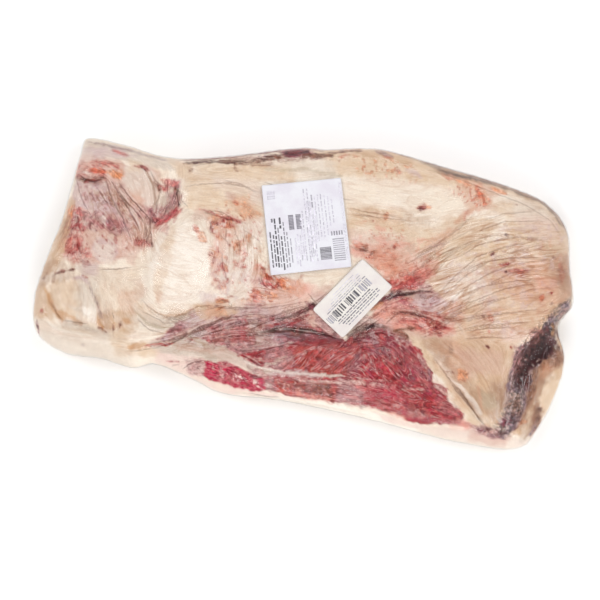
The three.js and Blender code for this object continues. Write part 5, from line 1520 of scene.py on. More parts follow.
class Paint:
    """Coats of pigment on the fat and on the flesh, and the flesh's share of each point."""

    def __init__(self, count):
        self.linear = {name: PAINT_LIGHT * (np.array(rgb) / 255) ** GAMMA for name, rgb in PIGMENTS.items()}
        self.cover = np.tile(self.linear["fat"], (count, 1))
        self.flesh = np.zeros((count, 3))
        self.share = np.zeros(count)

    def lay(self, amount, pigment, near=slice(None)):
        """One coat, from none at 0 to opaque at 1."""
        amount = np.clip(amount, 0, 1)
        for layer in (self.cover, self.flesh):
            layer[near] *= (1 - amount)[:, None]
        self.share[near] *= 1 - amount
        layer = self.flesh if pigment in FLESH else self.cover
        layer[near] += self.linear[pigment] * amount[:, None]
        self.share[near] += amount * (pigment in FLESH)

    def mixed(self):
        """The fat's colour and the flesh's, each as if it covered the point alone, and the flesh's share."""
        cover = (self.cover + TRACE * self.linear["fat"]) / (1 + TRACE - self.share)[:, None]
        flesh = (self.flesh + TRACE * self.linear["red"]) / (TRACE + self.share)[:, None]
        return cover, flesh, self.share


def lay_ground(paint, mottle):
    """Broad tones of the fat, and tints that follow the wrinkles."""
    paint.lay(0.22 * np.clip(mottle, 0, 1), "tan")
    paint.lay(0.25 * np.clip(-mottle, 0, 1), "bright")
    tints = (("greyfat", 0.35, broad), ("peach", 0.35, -broad), ("lilac", 0.2, np.roll(weave, LILAC_SHIFT)))
    for pigment, strength, wave in tints:
        amount = np.clip(0.45 * wave, 0, 1) * (0.3 + wrinkled)
        paint.lay(strength * amount, pigment)


def lay_bands(paint, bands, patch):
    """Bands along the back, each from where the form turns as steep as it says: painted shade on the sides
    turned from the light, with the back's own tones.
    """
    behind = smooth(0.1, 0.4, form_normals[:, 1])
    for pigment, strength, left, right, steep in bands:
        along = smooth(left, left + 30, form_x) * smooth(right, right - 30, form_x)
        facing = smooth(steep, steep - 0.22, form_normals[:, 2]) * behind
        paint.lay(strength * along * facing * (1 + PATCHY * patch), pigment)


def wandered(plan):
    """How far the strokes wander from their places, in x and in y."""
    warp = []
    # Down the back side and the ends they break up into blotches.
    for k, on_back, on_ends in ((0, 11, 5), (4, 5, 11)):
        drift = 1.8 * lattice_noise(plan, 13, SEEDS["warp"] + k, 2)
        blotches = lattice_noise(form, 9, SEEDS["back blotches"] + k, 2)
        drift += (on_back * sloping + on_ends * end_walls) * blotches
        warp.append((drift, 0.7 * lattice_noise(plan, 3.2, SEEDS["fray"] + k)))
    return warp


def lay_strokes(paint, plan, patch, streaky):
    """All strokes, fields and flecks, one over the other."""
    (warp_x, fray_x), (warp_y, fray_y) = wandered(plan)
    blotch = 0.6 * lattice_noise(plan, 4, SEEDS["blotch"], 2) + 0.5 * streaky
    blotch = 0.5 + 0.5 * np.clip(blotch, -1, 1)
    for index, (kind, pigment, strength, size, places) in enumerate(PAINT):
        # Narrow strokes wander less than broad fields.
        loose = min(1, size / 3) if kind == "streak" else 1
        x = form_x + warp_x * loose + fray_x * loose
        y = read_y + warp_y * loose + fray_y * loose
        margin = 2 * size + 1 if kind == "streak" else FLECK_EDGE if kind == "flecks" else size
        near = around_run(x, y, places, margin)
        local = (x[near], y[near], blotch[near], streaky[near])
        spread = paint_share(kind, size, places, *local, SEEDS["flecks"] + index)
        thin = kind == "streak" and size < 2.5
        uneven = 1 if thin else np.clip(1 + 0.3 * patch[near], 0.5, 1.15)
        paint.lay(strength * spread * uneven, pigment, near)


def lay_sides(paint, mottle, patch):
    """Level layers of fat and lean on the sides that face away."""
    height = form_z + 3.5 * lattice_noise(form, 34, SEEDS["layer waves"], 2)
    height += 1.2 * lattice_noise(form, 7, SEEDS["layer edges"])
    place = form_x + 14 * mottle
    back = smooth(0.1, 0.5, form_normals[:, 1])
    for pigment, strength, left, right, low, high, back_only in SIDE_LAYERS:
        along = smooth(left - 20, left + 20, place) * smooth(right + 20, right - 20, place)
        layer = smooth(low - 1.2, low + 1.2, height) * smooth(high + 1.2, high - 1.2, height)
        shown = np.maximum(averted, sloping**2) * back if back_only else averted
        paint.lay(strength * along * layer * shown * (1 + PATCHY * patch), pigment)


def painted(streaky):
    """Linear colours of the fat and of the flesh at each point, and the flesh's share."""
    paint = Paint(len(form))
    plan = np.column_stack([form_x, read_y])
    patch = lattice_noise(plan, 7, SEEDS["patch"], 3)
    mottle = lattice_noise(form, 28, SEEDS["mottle"], 3)
    lay_ground(paint, mottle)
    lay_bands(paint, BACK_TONES_AND_SHADE, patch)
    lay_strokes(paint, plan, patch, streaky)
    lay_bands(paint, BACK_RIM_LEAN_AND_SHADE, patch)
    lay_sides(paint, mottle, patch)
    return paint.mixed()


def build_mesh(name, points, faces):
    mesh = bpy.data.meshes.new(name)
    mesh.from_pydata((points * METRE).tolist(), [], faces)
    mesh.validate()
    mesh.polygons.foreach_set("use_smooth", [True] * len(mesh.polygons))
    mesh.update()
    piece = bpy.data.objects.new(name, mesh)
    bpy.context.scene.collection.objects.link(piece)
    return piece


def keep_colour(piece, name, colour):
    layer = piece.data.attributes.new(name, "FLOAT_COLOR", "POINT")
    with_alpha = np.column_stack([colour, np.ones(len(colour))])
    layer.data.foreach_set("color", with_alpha.astype(np.float32).ravel())


def keep_value(piece, name, values):
    layer = piece.data.attributes.new(name, "FLOAT", "POINT")
    layer.data.foreach_set("value", values.astype(np.float32))


# The base form and the fields that the meat and the film share.
form, form_quads, form_triangles = build_form()
form_faces = form_quads.tolist() + form_triangles.tolist()
form_normals = vertex_normals(form, form_quads, form_triangles)
form_x, form_y, form_z = form.T
read_y = form_y - (READING_HEIGHT - form_z) * READING_SLOPE
rim_distance, _ = nearest_on_run(form_x, form_y, outline, closed=True)
on_top = smooth(2, 16, rim_distance) * smooth(20, 32, form_z)
bare = 1 - under_labels(form_x, form_y, margin=5)

flow = flow_field()
weave, broad = (
    smeared_noise(flow, grain, length, SEEDS["weave"] + k, form_x, read_y)
    for k, (grain, length) in enumerate(((2.0, 36), (3.2, 75)))
)
# How far each place faces away from the front and top, where the meat shows its layers.
averted = smooth(0.08, -0.05, form_normals @ np.array(SIGHT))
sloping = smooth(0.8, 0.35, form_normals[:, 2]) * smooth(0.1, 0.5, form_normals[:, 1])
end_walls = smooth(0.7, 0.25, form_normals[:, 2]) * smooth(0.4, 0.8, np.abs(form_normals[:, 0]))
layers = lattice_noise(form, (45, 45, 2.6), SEEDS["layers"], 2)
layered = np.maximum(averted, sloping)
# The marks of the top and the sides stop at the underside, which is plain fat.
marked = smooth(-0.6, -0.2, form_normals[:, 2])
meat_weave = weave * (1 - layered) + 2.5 * layers * layered
# On the sides the film gathers in upright folds.
gathers = lattice_noise(form, (7, 7, 60), SEEDS["gathers"], 2)
wrinkled = wrinkle_strength(form_x, read_y) * bare
creases = pressed_depth(form_x, read_y, CREASES) * bare
line_place, line_strength = nearest_line(form_x, read_y, LINES)
line_strength *= marked
distance, _ = nearest_on_run(form_x, read_y, np.array(CRUMPLED, float))
crumpled = (1 - smooth(6, 12, distance)) * marked
crumple = lattice_noise(form, 4.2, SEEDS["crumple"], 2)
fibrous = inside_any(form_x, read_y, FIBROUS, 5) * marked
# How far the film stands out from the base form.
ridges = RIDGES * wrinkled * (1 - 2 * np.abs(np.sin(1.7 * weave))) + WAVES * wrinkled * broad
ridges = on_top * ridges + (1 - on_top) * GATHERS * gathers * bare + CRUMPLES * crumpled * crumple
film_lift = (np.clip(ridges, -1, 1) - SINKING * creases * on_top) * smooth(0, 4, form_z)


def make_film():
    points = form + form_normals * film_lift[:, None]
    points[:, 2] = np.maximum(points[:, 2], 0)
    film = build_mesh("film", points, form_faces)
    keep_value(film, "weave", weave)
    keep_value(film, "wrinkled", wrinkled * (0.3 + 0.7 * on_top))
    keep_value(film, "crumpled", crumpled)
    return film


def make_meat():
    lumps = lattice_noise(form, 9, SEEDS["lumps"], 2)
    lift = 0.6 * film_lift - MEAT_DEPTH + 0.3 * lumps - 0.4 * creases * on_top
    lift = np.minimum(lift, film_lift - LEAST_GAP)
    meat = build_mesh("meat", form + form_normals * lift[:, None], form_faces)
    cover, flesh, share = painted(np.clip(meat_weave * 0.6, -1, 1))
    keep_colour(meat, "cover", np.clip(cover, 0.002, 1))
    keep_colour(meat, "flesh", np.clip(flesh, 0.002, 1))
    values = {
        "share": share, "fibrous": fibrous, "weave": meat_weave, "broad": broad,
        "wrinkled": wrinkled * on_top, "crumpled": crumpled,
        "line_place": line_place, "line_strength": line_strength,
    }
    for name, value in values.items():
        keep_value(meat, name, value)
    return meat


class Nodes:
    """A material's node tree, with short calls to add nodes and link them."""

    def __init__(self, name):
        self.material = bpy.data.materials.new(name)
        self.material.use_nodes = True
        self.tree = self.material.node_tree
        self.tree.nodes.clear()
        self.output = self.tree.nodes.new("ShaderNodeOutputMaterial")

    def add(self, kind, inputs=None, **settings):
        node = self.tree.nodes.new("ShaderNode" + kind)
        for key, value in settings.items():
            setattr(node, key, value)
        for key, value in (inputs or {}).items():
            if isinstance(value, bpy.types.NodeSocket):
                self.tree.links.new(value, node.inputs[key])
            else:
                node.inputs[key].default_value = value
        return node

    def surface(self, socket):
        self.tree.links.new(socket, self.output.inputs["Surface"])
        return self.material

    def solid(self, colour, roughness, more):
        """The material of an opaque surface."""
        shader = self.add("BsdfPrincipled", {"Base Color": colour, "Roughness": roughness, **more})
        return self.surface(shader.outputs["BSDF"])

    def bump(self, height, strength, distance):
        node = self.add("Bump", {"Height": height, "Strength": strength, "Distance": distance})
        return node.outputs["Normal"]

    def attribute(self, name, output="Fac"):
        return self.add("Attribute", attribute_name=name).outputs[output]

    def noise(self, scale, detail=3.0, roughness=0.55):
        place = self.add("TexCoord").outputs["Object"]
        look = {"Scale": scale, "Detail": detail, "Roughness": roughness}
        return self.add("TexNoise", {"Vector": place, **look}).outputs["Fac"]

    def stripes(self, across, along, field="weave"):
        """Noise drawn out along the wrinkles: across is its scale in the field, along in metres."""
        place = self.add("TexCoord").outputs["Object"]
        slow = self.scale_colour(place, along)
        weave = self.add("CombineXYZ", {"Z": self.times(self.attribute(field), across)})
        both = self.add("VectorMath", {0: slow, 1: weave.outputs["Vector"]}, operation="ADD")
        node = self.add("TexNoise", {"Vector": both.outputs["Vector"], "Scale": 1.0, "Detail": 3.0})
        return node.outputs["Fac"]

    def spread(self, value, low, high, to_low, to_high):
        ends = {"From Min": low, "From Max": high, "To Min": to_low, "To Max": to_high}
        return self.add("MapRange", {"Value": value, **ends}).outputs["Result"]

    def math(self, operation, a, b):
        return self.add("Math", {0: a, 1: b}, operation=operation).outputs[0]

    def plus(self, a, b):
        return self.math("ADD", a, b)

    def minus(self, a, b):
        return self.math("SUBTRACT", a, b)

    def times(self, a, b):
        return self.math("MULTIPLY", a, b)

    def size_of(self, value):
        return self.math("ABSOLUTE", value, 0.0)

    def scale_colour(self, colour, factor):
        return self.add("VectorMath", {0: colour, "Scale": factor}, operation="SCALE").outputs["Vector"]

    def tinted(self, factor, colour, tint):
        """The colour, multiplied by a tint as far as factor says."""
        dyed = self.add("VectorMath", {0: colour, 1: tint}, operation="MULTIPLY").outputs["Vector"]
        return self.mix(factor, colour, dyed)

    def contour(self, value, half):
        """Thin lines where a noise passes its middle: 1 on the line and 0 from half away."""
        return self.spread(self.size_of(self.minus(value, 0.5)), 0.0, half, 1, 0)

    def mix(self, factor, first, second):
        """Colour from first to second."""
        return self.add("Mix", {0: factor, 6: first, 7: second}, data_type="RGBA").outputs[2]


def flesh_islands(n, share, lines, grain, mottle):
    """Where the flesh shows. It is denser in islands, some of them drawn out along the wrinkles."""
    islands = n.plus(n.times(lines, 4.0), n.times(n.plus(grain, mottle), 3.5))
    islands = n.times(n.minus(islands, 5.5), n.minus(1.0, share))
    return n.spread(n.times(share, n.plus(islands, 1.1)), 0.0, 1.0, 0, 1)


def flesh_colour(n, threads, strands, mottle):
    """Flesh of darker threads with thin pale ones between them."""
    flesh = n.scale_colour(n.attribute("flesh", "Color"), n.spread(threads, 0.38, 0.62, 1.2, 0.8))
    flesh = n.scale_colour(flesh, n.spread(mottle, 0.40, 0.60, 1.25, 0.72))
    fibre = n.times(n.contour(n.stripes(0.8, 40), 0.03), n.attribute("fibrous"))
    flesh = n.mix(n.times(fibre, 0.3), flesh, (0.55, 0.27, 0.26, 1))
    pale = n.times(n.spread(strands, 0.42, 0.35, 0, 0.7), n.attribute("fibrous"))
    return n.mix(pale, flesh, (0.60, 0.34, 0.33, 1))


def wrinkle_shade(n, colour, lines, threads):
    """Painted shade, with juice, darkens the bottoms of the wrinkles, and painted highlights pale their
    crests.
    """
    wrinkled = n.attribute("wrinkled")
    dark = n.times(n.spread(lines, 0.50, 0.60, 0, 0.8), wrinkled)
    colour = n.tinted(dark, colour, (0.76, 0.60, 0.50))
    seam_shade = n.times(n.contour(n.stripes(0.6, 12, "broad"), 0.035), wrinkled)
    colour = n.tinted(n.times(seam_shade, 0.85), colour, (0.62, 0.44, 0.34))
    thin = n.times(n.spread(threads, 0.52, 0.62, 0, 0.6), wrinkled)
    colour = n.tinted(thin, colour, (0.80, 0.68, 0.60))
    crest_highlight = n.times(n.spread(lines, 0.47, 0.38, 0, 0.16), wrinkled)
    return n.scale_colour(colour, n.plus(crest_highlight, 1.0))


def juice_and_shade_lines(n, colour, mottle):
    """Thin dark lines of juice with painted shade in the finest wrinkles, each with a painted highlight
    beside it for the film's ridge.
    """
    place = n.plus(n.attribute("line_place"), n.times(n.minus(mottle, 0.5), 4.0))
    strength = n.attribute("line_strength")
    inked = n.times(n.spread(n.size_of(place), 0.3, 1.1, 0.9, 0), strength)
    edge_highlight = n.times(n.spread(n.size_of(n.minus(place, 2.1)), 0.3, 1.0, 0.35, 0), strength)
    colour = n.mix(edge_highlight, colour, (0.80, 0.66, 0.60, 1))
    return n.tinted(inked, colour, (0.20, 0.11, 0.10))


def crumple_shade_and_highlights(n, colour):
    """Painted shade and painted highlights of the crumpled film, as dark and pale flecks side by side under
    it.
    """
    highlight_and_shade_flecks = n.scale_colour(colour, n.spread(n.noise(330, 4, 0.75), 0.42, 0.58, 0.4, 1.25))
    return n.mix(n.attribute("crumpled"), colour, highlight_and_shade_flecks)


def meat_material():
    n = Nodes("moist beef and fat")
    lines, threads, strands = n.stripes(1.5, 32), n.stripes(4.5, 90), n.stripes(7.0, 60)
    grain, mottle = n.noise(430, 3, 0.6), n.noise(210, 4, 0.65)
    share = n.attribute("share")
    meaty = flesh_islands(n, share, lines, grain, mottle)
    colour = n.mix(meaty, n.attribute("cover", "Color"), flesh_colour(n, threads, strands, mottle))
    veins = n.times(n.spread(strands, 0.55, 0.63, 0, 0.8), n.spread(share, 0.05, 0.4, 0, 1))
    colour = n.tinted(veins, colour, (0.55, 0.34, 0.34))
    colour = wrinkle_shade(n, colour, lines, threads)
    colour = crumple_shade_and_highlights(n, juice_and_shade_lines(n, colour, mottle))
    colour = n.scale_colour(colour, n.spread(n.noise(700, 3, 0.65), 0.3, 0.7, 0.9, 1.08))
    rough = n.spread(n.noise(180), 0.3, 0.7, 0.42, 0.6)
    bump = n.bump(n.minus(grain, lines), 0.3, 0.0006)
    return n.solid(colour, rough, {"Normal": bump, "Specular IOR Level": 0.2})


def film_material():
    """Film that is clear where it lies flat, hazy on its crests and glossy on both of its sides. The whitish
    haze on the crests is a painted highlight.
    """
    n = Nodes("clear shrink film")
    lines = n.stripes(1.5, 32)
    ripple = n.plus(n.times(lines, -1.0), n.times(n.noise(420, 2), 0.35))
    rough = n.times(n.plus(n.attribute("wrinkled"), n.attribute("crumpled")), 0.7)
    bump = n.bump(ripple, rough, 0.0016)
    clear = n.add("BsdfTransparent", {"Color": (0.99, 0.985, 0.98, 1)}).outputs[0]
    haze = n.add("BsdfPrincipled", {"Base Color": (0.88, 0.85, 0.86, 1), "Roughness": 0.4}).outputs["BSDF"]
    gloss = n.add("BsdfGlossy", {"Roughness": 0.1, "Normal": bump}).outputs["BSDF"]
    crest_highlight = n.times(n.spread(lines, 0.42, 0.34, 0, 0.2), n.attribute("wrinkled"))
    cloud = n.spread(n.noise(35), 0.4, 0.75, 0.0, 0.015)
    hazy = n.add("MixShader", {"Fac": n.plus(crest_highlight, cloud), 1: clear, 2: haze}).outputs[0]
    facing = n.add("LayerWeight", {"Blend": 0.5, "Normal": bump}).outputs["Facing"]
    mirrored = n.plus(n.times(n.math("POWER", facing, 5.0), 0.9), 0.012)
    return n.surface(n.add("MixShader", {"Fac": mirrored, 1: hazy, 2: gloss}).outputs[0])


def paper_material(name, colour):
    n = Nodes(name)
    tone = tuple((c / 255) ** GAMMA for c in colour)
    shade = n.scale_colour(tone, n.spread(n.noise(900, 2), 0.3, 0.7, 0.97, 1.02))
    shade = n.tinted(n.spread(n.noise(45, 3), 0.45, 0.65, 0, 1), shade, (0.93, 0.90, 0.93))
    bump = n.bump(n.noise(60, 3), 0.12, 0.001)
    return n.solid(shade, 0.5, {"Normal": bump, "Specular IOR Level": 0.3})


def ink_material():
    n = Nodes("printing ink")
    colour = n.scale_colour(n.attribute("tint", "Color"), n.spread(n.noise(1500, 2), 0.3, 0.7, 0.8, 1.3))
    return n.solid(colour, 0.55, {})


# The labels: height over the form, thickness, mesh step, how far they bridge, waves, and round corners.
LABEL_LIFT = 0.5
PAPER = 0.25
LABEL_STEP = 2
LABEL_REACH = 4
LABEL_WAVES = 0.25
LABEL_CORNER = {"label_large": 1.0, "label_small": 3.0}
WHITE, CREAM = (219, 218, 224), (222, 216, 210)

# The print: how far it stands out of the paper, the length of its steps and its tint.
INK = 0.06
INK_STEP = 3
INK_TINT = (1.0, 0.95, 1.08)
DOWN, UP, SIDE = (0.0, -1.0), (0.0, 1.0), (1.0, 0.0)

# Dark columns of the large label: place, top, length, width and shade.
DARK_COLUMNS = [
    (-42, 10, 7, 2.4, 0.06), (-42, -2, 48, 1.5, 0.12), (-38.5, 14, 14, 2.2, 0.16),
    (-38.5, -6, 44, 1.5, 0.14), (-35.5, 14, 64, 1.8, 0.10), (-32.5, 2, 52, 1.2, 0.20),
    (-29.5, 15, 20, 2.2, 0.10), (-29.5, -8, 42, 1.7, 0.12), (-26, 9, 58, 1.3, 0.22),
    (-23, -4, 44, 1.3, 0.28), (-19.5, -12, 32, 1.2, 0.36),
]
# Its pale columns: place, top and length.
PALE_COLUMNS = [
    (-8, -10, 36), (-3, 20, 64), (1, 46, 90), (5, 46, 90), (9, 14, 60), (13, 36, 56), (16.5, 38, 60),
    (20, 38, 56), (24, 36, 50), (28, 34, 40), (32, 30, 32),
]
FAINT_COLUMNS = [(-14, -12, 38), (-11, -8, 42), (-5.5, 12, 58), (3, 30, 74), (7, 30, 70), (11, 20, 44)]

# Groups of stripes on the small label: first, last, darkest and palest shade.
STRIPES = [
    (-38, -31, 0.2, 0.4), (-29, -20, 0.04, 0.14), (-17, -13, 0.04, 0.1), (-9, -1, 0.04, 0.14),
    (1, 12, 0.06, 0.25), (14, 27, 0.15, 0.4),
]
# Its rows of dashes: place, start, length, width and shade.
DASHES = [
    (-7, -32, 58, 1.3, 0.14), (-9.6, -34, 60, 1.0, 0.24), (-12.4, -30, 62, 1.3, 0.16),
    (-15.2, -28, 58, 1.1, 0.20), (-18.2, -26, 50, 1.0, 0.28), (7.5, -34, 62, 1.1, 0.30),
    (9.8, -30, 56, 0.9, 0.40), (12.4, -24, 50, 0.8, 0.5), (15, -20, 46, 0.8, 0.5), (18, -14, 36, 0.8, 0.55),
]


def place_on_label(name, u, v):
    label_x, label_y, _, _, turn = LABELS[name]
    dx, dy = turned(u, v, -turn)
    return label_x + dx, label_y + dy


def underside_heights(name):
    """Heights of a label's underside on an even grid over it. It bridges what is narrow under it."""
    _, _, width, height, _ = LABELS[name]
    across = np.arange(-width / 2 - LABEL_STEP, width / 2 + 2 * LABEL_STEP, LABEL_STEP)
    up = np.arange(-height / 2 - LABEL_STEP, height / 2 + 2 * LABEL_STEP, LABEL_STEP)
    u, v = np.meshgrid(across, up)
    x, y = place_on_label(name, u.ravel(), v.ravel())
    around = [(i * LABEL_REACH, j * LABEL_REACH) for i in (-1, 0, 1) for j in (-1, 0, 1)]
    highest = np.max([top_height(x + i, y + j) for i, j in around], axis=0)
    waves = LABEL_WAVES * lattice_noise(np.column_stack([x, y]), 16, SEEDS["label waves"])
    return (highest + LABEL_LIFT + waves).reshape(u.shape)


label_grids = {name: underside_heights(name) for name in LABELS}


def label_height(name, u, v):
    """Height of a label's underside at a place on it."""
    _, _, width, height, _ = LABELS[name]
    return between(label_grids[name], (u + width / 2) / LABEL_STEP + 1, (v + height / 2) / LABEL_STEP + 1)


def rounded(u, v, width, height, corner):
    """The places of a grid over a label, with its corners pulled in to a small round."""
    over_u, over_v = np.abs(u) - (width / 2 - corner), np.abs(v) - (height / 2 - corner)
    far = np.hypot(np.maximum(over_u, 0), np.maximum(over_v, 0))
    pull = np.where((over_u > 0) & (over_v > 0) & (far > corner), corner / np.maximum(far, 1e-9), 1)
    u = np.where(pull < 1, np.sign(u) * (width / 2 - corner + over_u * pull), u)
    v = np.where(pull < 1, np.sign(v) * (height / 2 - corner + over_v * pull), v)
    return u, v


def make_label(name):
    _, _, width, height, _ = LABELS[name]
    columns, rows = round(width / LABEL_STEP), round(height / LABEL_STEP)
    across = np.linspace(-width / 2, width / 2, columns + 1)
    up = np.linspace(-height / 2, height / 2, rows + 1)
    u, v = (a.ravel() for a in np.meshgrid(across, up))
    u, v = rounded(u, v, width, height, LABEL_CORNER[name])
    lower = np.column_stack([*place_on_label(name, u, v), label_height(name, u, v)])
    count = len(lower)
    down = grid_faces(columns, rows, 0, upward=True)
    edge = border_indices(columns, rows)
    after = np.roll(edge, -1)
    wall = np.stack([edge, after, count + after, count + edge], axis=1)
    faces = np.concatenate([down, count + down[:, ::-1], wall])
    return build_mesh(name + "_paper", np.concatenate([lower, lower + [0, 0, PAPER]]), faces.tolist())


class Printing:
    """Bars of ink on a label, each with its start, direction, side, length and width, and their shades."""

    def __init__(self, seed):
        self.random = np.random.default_rng(seed)
        self.bars = []
        self.shades = []

    def keep(self, bars, shade, uneven=(0.8, 1.2)):
        for bar in bars:
            self.bars.append(bar)
            self.shades.append(shade * self.random.uniform(*uneven))

    def dashes(self, u, v, along, across, length, width, shade,
               word=(3, 9), gap=(1.0, 2.0), uneven=(0.8, 1.2)):
        """A row of dashes from (u, v), as long as words, with gaps between them."""
        bars, place = [], 0
        for space, size in self.words(length, word, gap):
            place += space
            bars.append((u + along[0] * place, v + along[1] * place, along, across, size, width))
            place += size
        self.keep(bars, shade, uneven)

    def words(self, length, word, gap):
        """Gaps and lengths of dashes that fill a row."""
        pattern, used = [], 0
        while True:
            space, size = self.random.uniform(*gap), self.random.uniform(*word)
            if used + space + size > length:
                return pattern
            pattern.append((space, size))
            used += space + size


def bar_points(name, bar):
    """Points of a bar in four rows: left above, left below, right above, right below."""
    u0, v0, along, across, length, width = bar
    share = np.linspace(0, 1, max(1, round(length / INK_STEP)) + 1)
    rows = []
    for side in (-0.5, 0.5):
        u = u0 + along[0] * length * share + across[0] * width * side
        v = v0 + along[1] * length * share + across[1] * width * side
        x, y = place_on_label(name, u, v)
        z = label_height(name, u, v) + PAPER
        rows += [np.column_stack([x, y, z + INK]), np.column_stack([x, y, z - INK])]
    return rows


def bar_faces(start, count):
    """Faces round a bar that has so many points in each of its rows."""
    left_up, left_down, right_up, right_down = (start + k * count for k in range(4))
    last = count - 1
    faces = []
    for k in range(last):
        faces.append((left_up + k, right_up + k, right_up + k + 1, left_up + k + 1))
        faces.append((left_down + k, left_down + k + 1, right_down + k + 1, right_down + k))
        faces.append((left_up + k, left_up + k + 1, left_down + k + 1, left_down + k))
        faces.append((right_up + k, right_down + k, right_down + k + 1, right_up + k + 1))
    faces.append((left_up, left_down, right_down, right_up))
    faces.append((left_up + last, right_up + last, right_down + last, left_down + last))
    return faces


def make_print(name, printing):
    """Thin bars of ink that follow a label."""
    points, faces, tint = [], [], []
    for bar, shade in zip(printing.bars, printing.shades):
        rows = bar_points(name, bar)
        count = len(rows[0])
        faces += bar_faces(sum(len(p) for p in points), count)
        points += rows
        tint += [[shade * part for part in INK_TINT]] * (4 * count)
    piece = build_mesh(name + "_print", np.concatenate(points), faces)
    keep_colour(piece, "tint", np.array(tint))
    return piece


def large_print():
    """Columns of dashes down the label and plain striped blocks."""
    ink = Printing(SEEDS["large print"])
    for u, top, length, width, shade in DARK_COLUMNS:
        ink.dashes(u, top, DOWN, SIDE, length, width, shade)
    for u in (-19.5, -11):
        ink.keep([(u, v, SIDE, UP, 5.8, 1.1) for v in np.arange(14, -4, -1.8)], 0.2)
        ink.keep([(u, v, SIDE, UP, 5.8, 0.7) for v in np.arange(13.1, -4, -1.8)], 0.42)
    ink.dashes(9.5, 38, DOWN, SIDE, 20, 1.6, 0.40, (4, 8))
    for u, top, length in PALE_COLUMNS:
        ink.dashes(u, top, DOWN, SIDE, length, 1.1, 0.54, (2, 7))
    for u, top, length in FAINT_COLUMNS:
        ink.dashes(u, top, DOWN, SIDE, length, 1.4, 0.66)
    ink.keep([(28, v, SIDE, UP, 13, 1.2) for v in np.arange(-44.5, -17, 2.5)], 0.40)
    ink.keep([(u, -10, DOWN, SIDE, 5, 1.5) for u in np.arange(28, 40, 2.9)], 0.30)
    ink.keep([(-41, v, SIDE, UP, 9, 0.7) for v in np.arange(36.5, 46, 1.5)], 0.6)
    ink.keep([(12.5, v, SIDE, UP, 13, 1.3) for v in np.arange(-42, -28, 1.7)], 0.26, (0.5, 1.5))
    for u in (42.5, 44):
        ink.dashes(u, 50, DOWN, SIDE, 96, 0.7, 0.60, (1.5, 3))
    return make_print("label_large", ink)


def small_print():
    """A band of stripes along the label with rows of dashes on both sides."""
    ink = Printing(SEEDS["small print"])
    for u, last, low, high in STRIPES:
        while u < last:
            width = ink.random.choice([0.7, 1.0, 1.5, 2.0])
            top, length = 5 + ink.random.uniform(-0.6, 0.6), ink.random.uniform(8, 10)
            ink.keep([(u, top, DOWN, SIDE, length, width)], 1, (low, high))
            u += width + ink.random.choice([0.5, 0.8, 1.2, 1.6])
    for v, start, length, width, shade in DASHES:
        ink.dashes(start, v, SIDE, UP, length, width, shade, (2, 6), (0.6, 1.6), (0.7, 1.4))
    return make_print("label_small", ink)


def ride(piece, material, node):
    """Puts a piece on the part's body in place of a solid."""
    piece.data.materials.append(material)
    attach(piece, "root")
    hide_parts(node)


def make_floor():
    mesh = bpy.data.meshes.new("floor")
    half = FLOOR_HALF
    corners = [(x, y, -FLOOR_DROP) for x, y in ((-half, -half), (half, -half), (half, half), (-half, half))]
    mesh.from_pydata(corners, [], [(0, 1, 2, 3)])
    floor = bpy.data.objects.new("floor", mesh)
    bpy.context.scene.collection.objects.link(floor)
    n = Nodes("pale floor")
    mesh.materials.append(n.solid((0.97, 0.97, 0.97, 1), 0.9, {"Specular IOR Level": 0.1}))


def way_to(azimuth, elevation):
    """The direction to a place round the pack, from angles in degrees. The front is at azimuth 0."""
    a, e = math.radians(azimuth), math.radians(elevation)
    return Vector((math.sin(a) * math.cos(e), -math.cos(a) * math.cos(e), math.sin(e)))


def place_thing(name, data, target, way, distance):
    """Sets a light or the camera at a distance from its target, turned to face it."""
    thing = bpy.data.objects.new(name, data)
    thing.location = target + way * distance
    thing.rotation_euler = way.to_track_quat("Z", "Y").to_euler()
    bpy.context.scene.collection.objects.link(thing)
    return thing


# Lights round the pack: name, azimuth, elevation, width, power.
LIGHTS = [
    ("front light", 10, 32, 1.1, 24),
    ("left light", -95, 42, 1.0, 15),
    ("right light", 95, 42, 1.0, 14),
    ("back light", 180, 36, 1.1, 13),
]
LIGHT_DISTANCE = 2.6

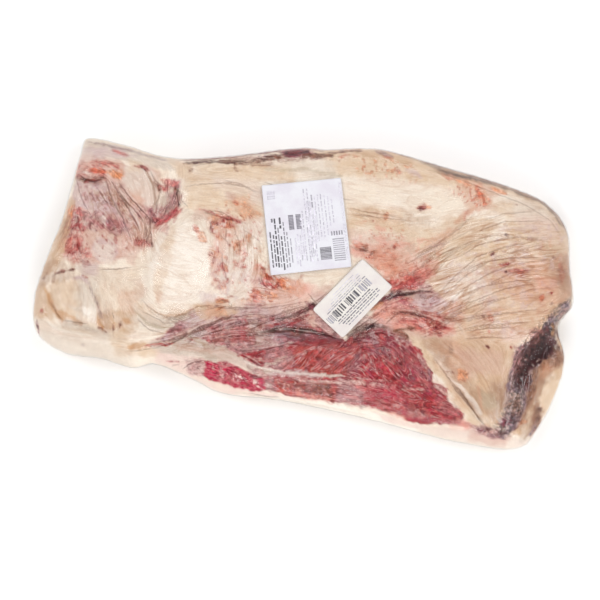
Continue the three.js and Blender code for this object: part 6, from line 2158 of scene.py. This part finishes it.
# The sky's strength low down and overhead, and the heights between which it fades.
SKY = {"From Min": 0.72, "From Max": 0.93, "To Min": 1.0, "To Max": 0.06}

# The floor, in metres.
FLOOR_HALF = 12
FLOOR_DROP = 0.0006


def make_lights():
    for name, azimuth, elevation, width, power in LIGHTS:
        light = bpy.data.lights.new(name, "AREA")
        light.size, light.energy = width, power
        place_thing(name, light, Vector((0, 0, 0)), way_to(azimuth, elevation), LIGHT_DISTANCE)


def make_sky():
    """White surroundings that darken overhead, so that flat film mirrors little."""
    world = bpy.data.worlds.new("studio")
    world.use_nodes = True
    tree = world.node_tree
    sky = tree.nodes["Background"]
    sky.inputs["Color"].default_value = (1, 1, 1, 1)
    place = tree.nodes.new("ShaderNodeTexCoord")
    parts = tree.nodes.new("ShaderNodeSeparateXYZ")
    fade = tree.nodes.new("ShaderNodeMapRange")
    tree.links.new(place.outputs["Generated"], parts.inputs["Vector"])
    tree.links.new(parts.outputs["Z"], fade.inputs["Value"])
    tree.links.new(fade.outputs["Result"], sky.inputs["Strength"])
    for key, value in SKY.items():
        fade.inputs[key].default_value = value
    bpy.context.scene.world = world
    bpy.context.scene.view_settings.view_transform = "Standard"


# The camera looks down from the front at the photograph's angle.
CAMERA = {"azimuth": 9, "elevation": 76, "distance": 1.7, "aim": (-0.004, -0.031, 0.025), "lens": 88.7}


def make_camera():
    data = bpy.data.cameras.new("camera")
    data.lens = CAMERA["lens"]
    way = way_to(CAMERA["azimuth"], CAMERA["elevation"])
    camera = place_thing("camera", data, Vector(CAMERA["aim"]), way, CAMERA["distance"])
    bpy.context.scene.camera = camera


make_camera()
make_lights()
make_sky()
make_floor()
ride(make_meat(), meat_material(), "packed_plate")
ride(make_film(), film_material(), "packed_plate")
white, cream = paper_material("white label paper", WHITE), paper_material("cream label paper", CREAM)
ride(make_label("label_large"), white, "label_large")
ride(make_label("label_small"), cream, "label_small")
ink = ink_material()
ride(large_print(), ink, "label_large")
ride(small_print(), ink, "label_small")

bpy.context.view_layer.update()
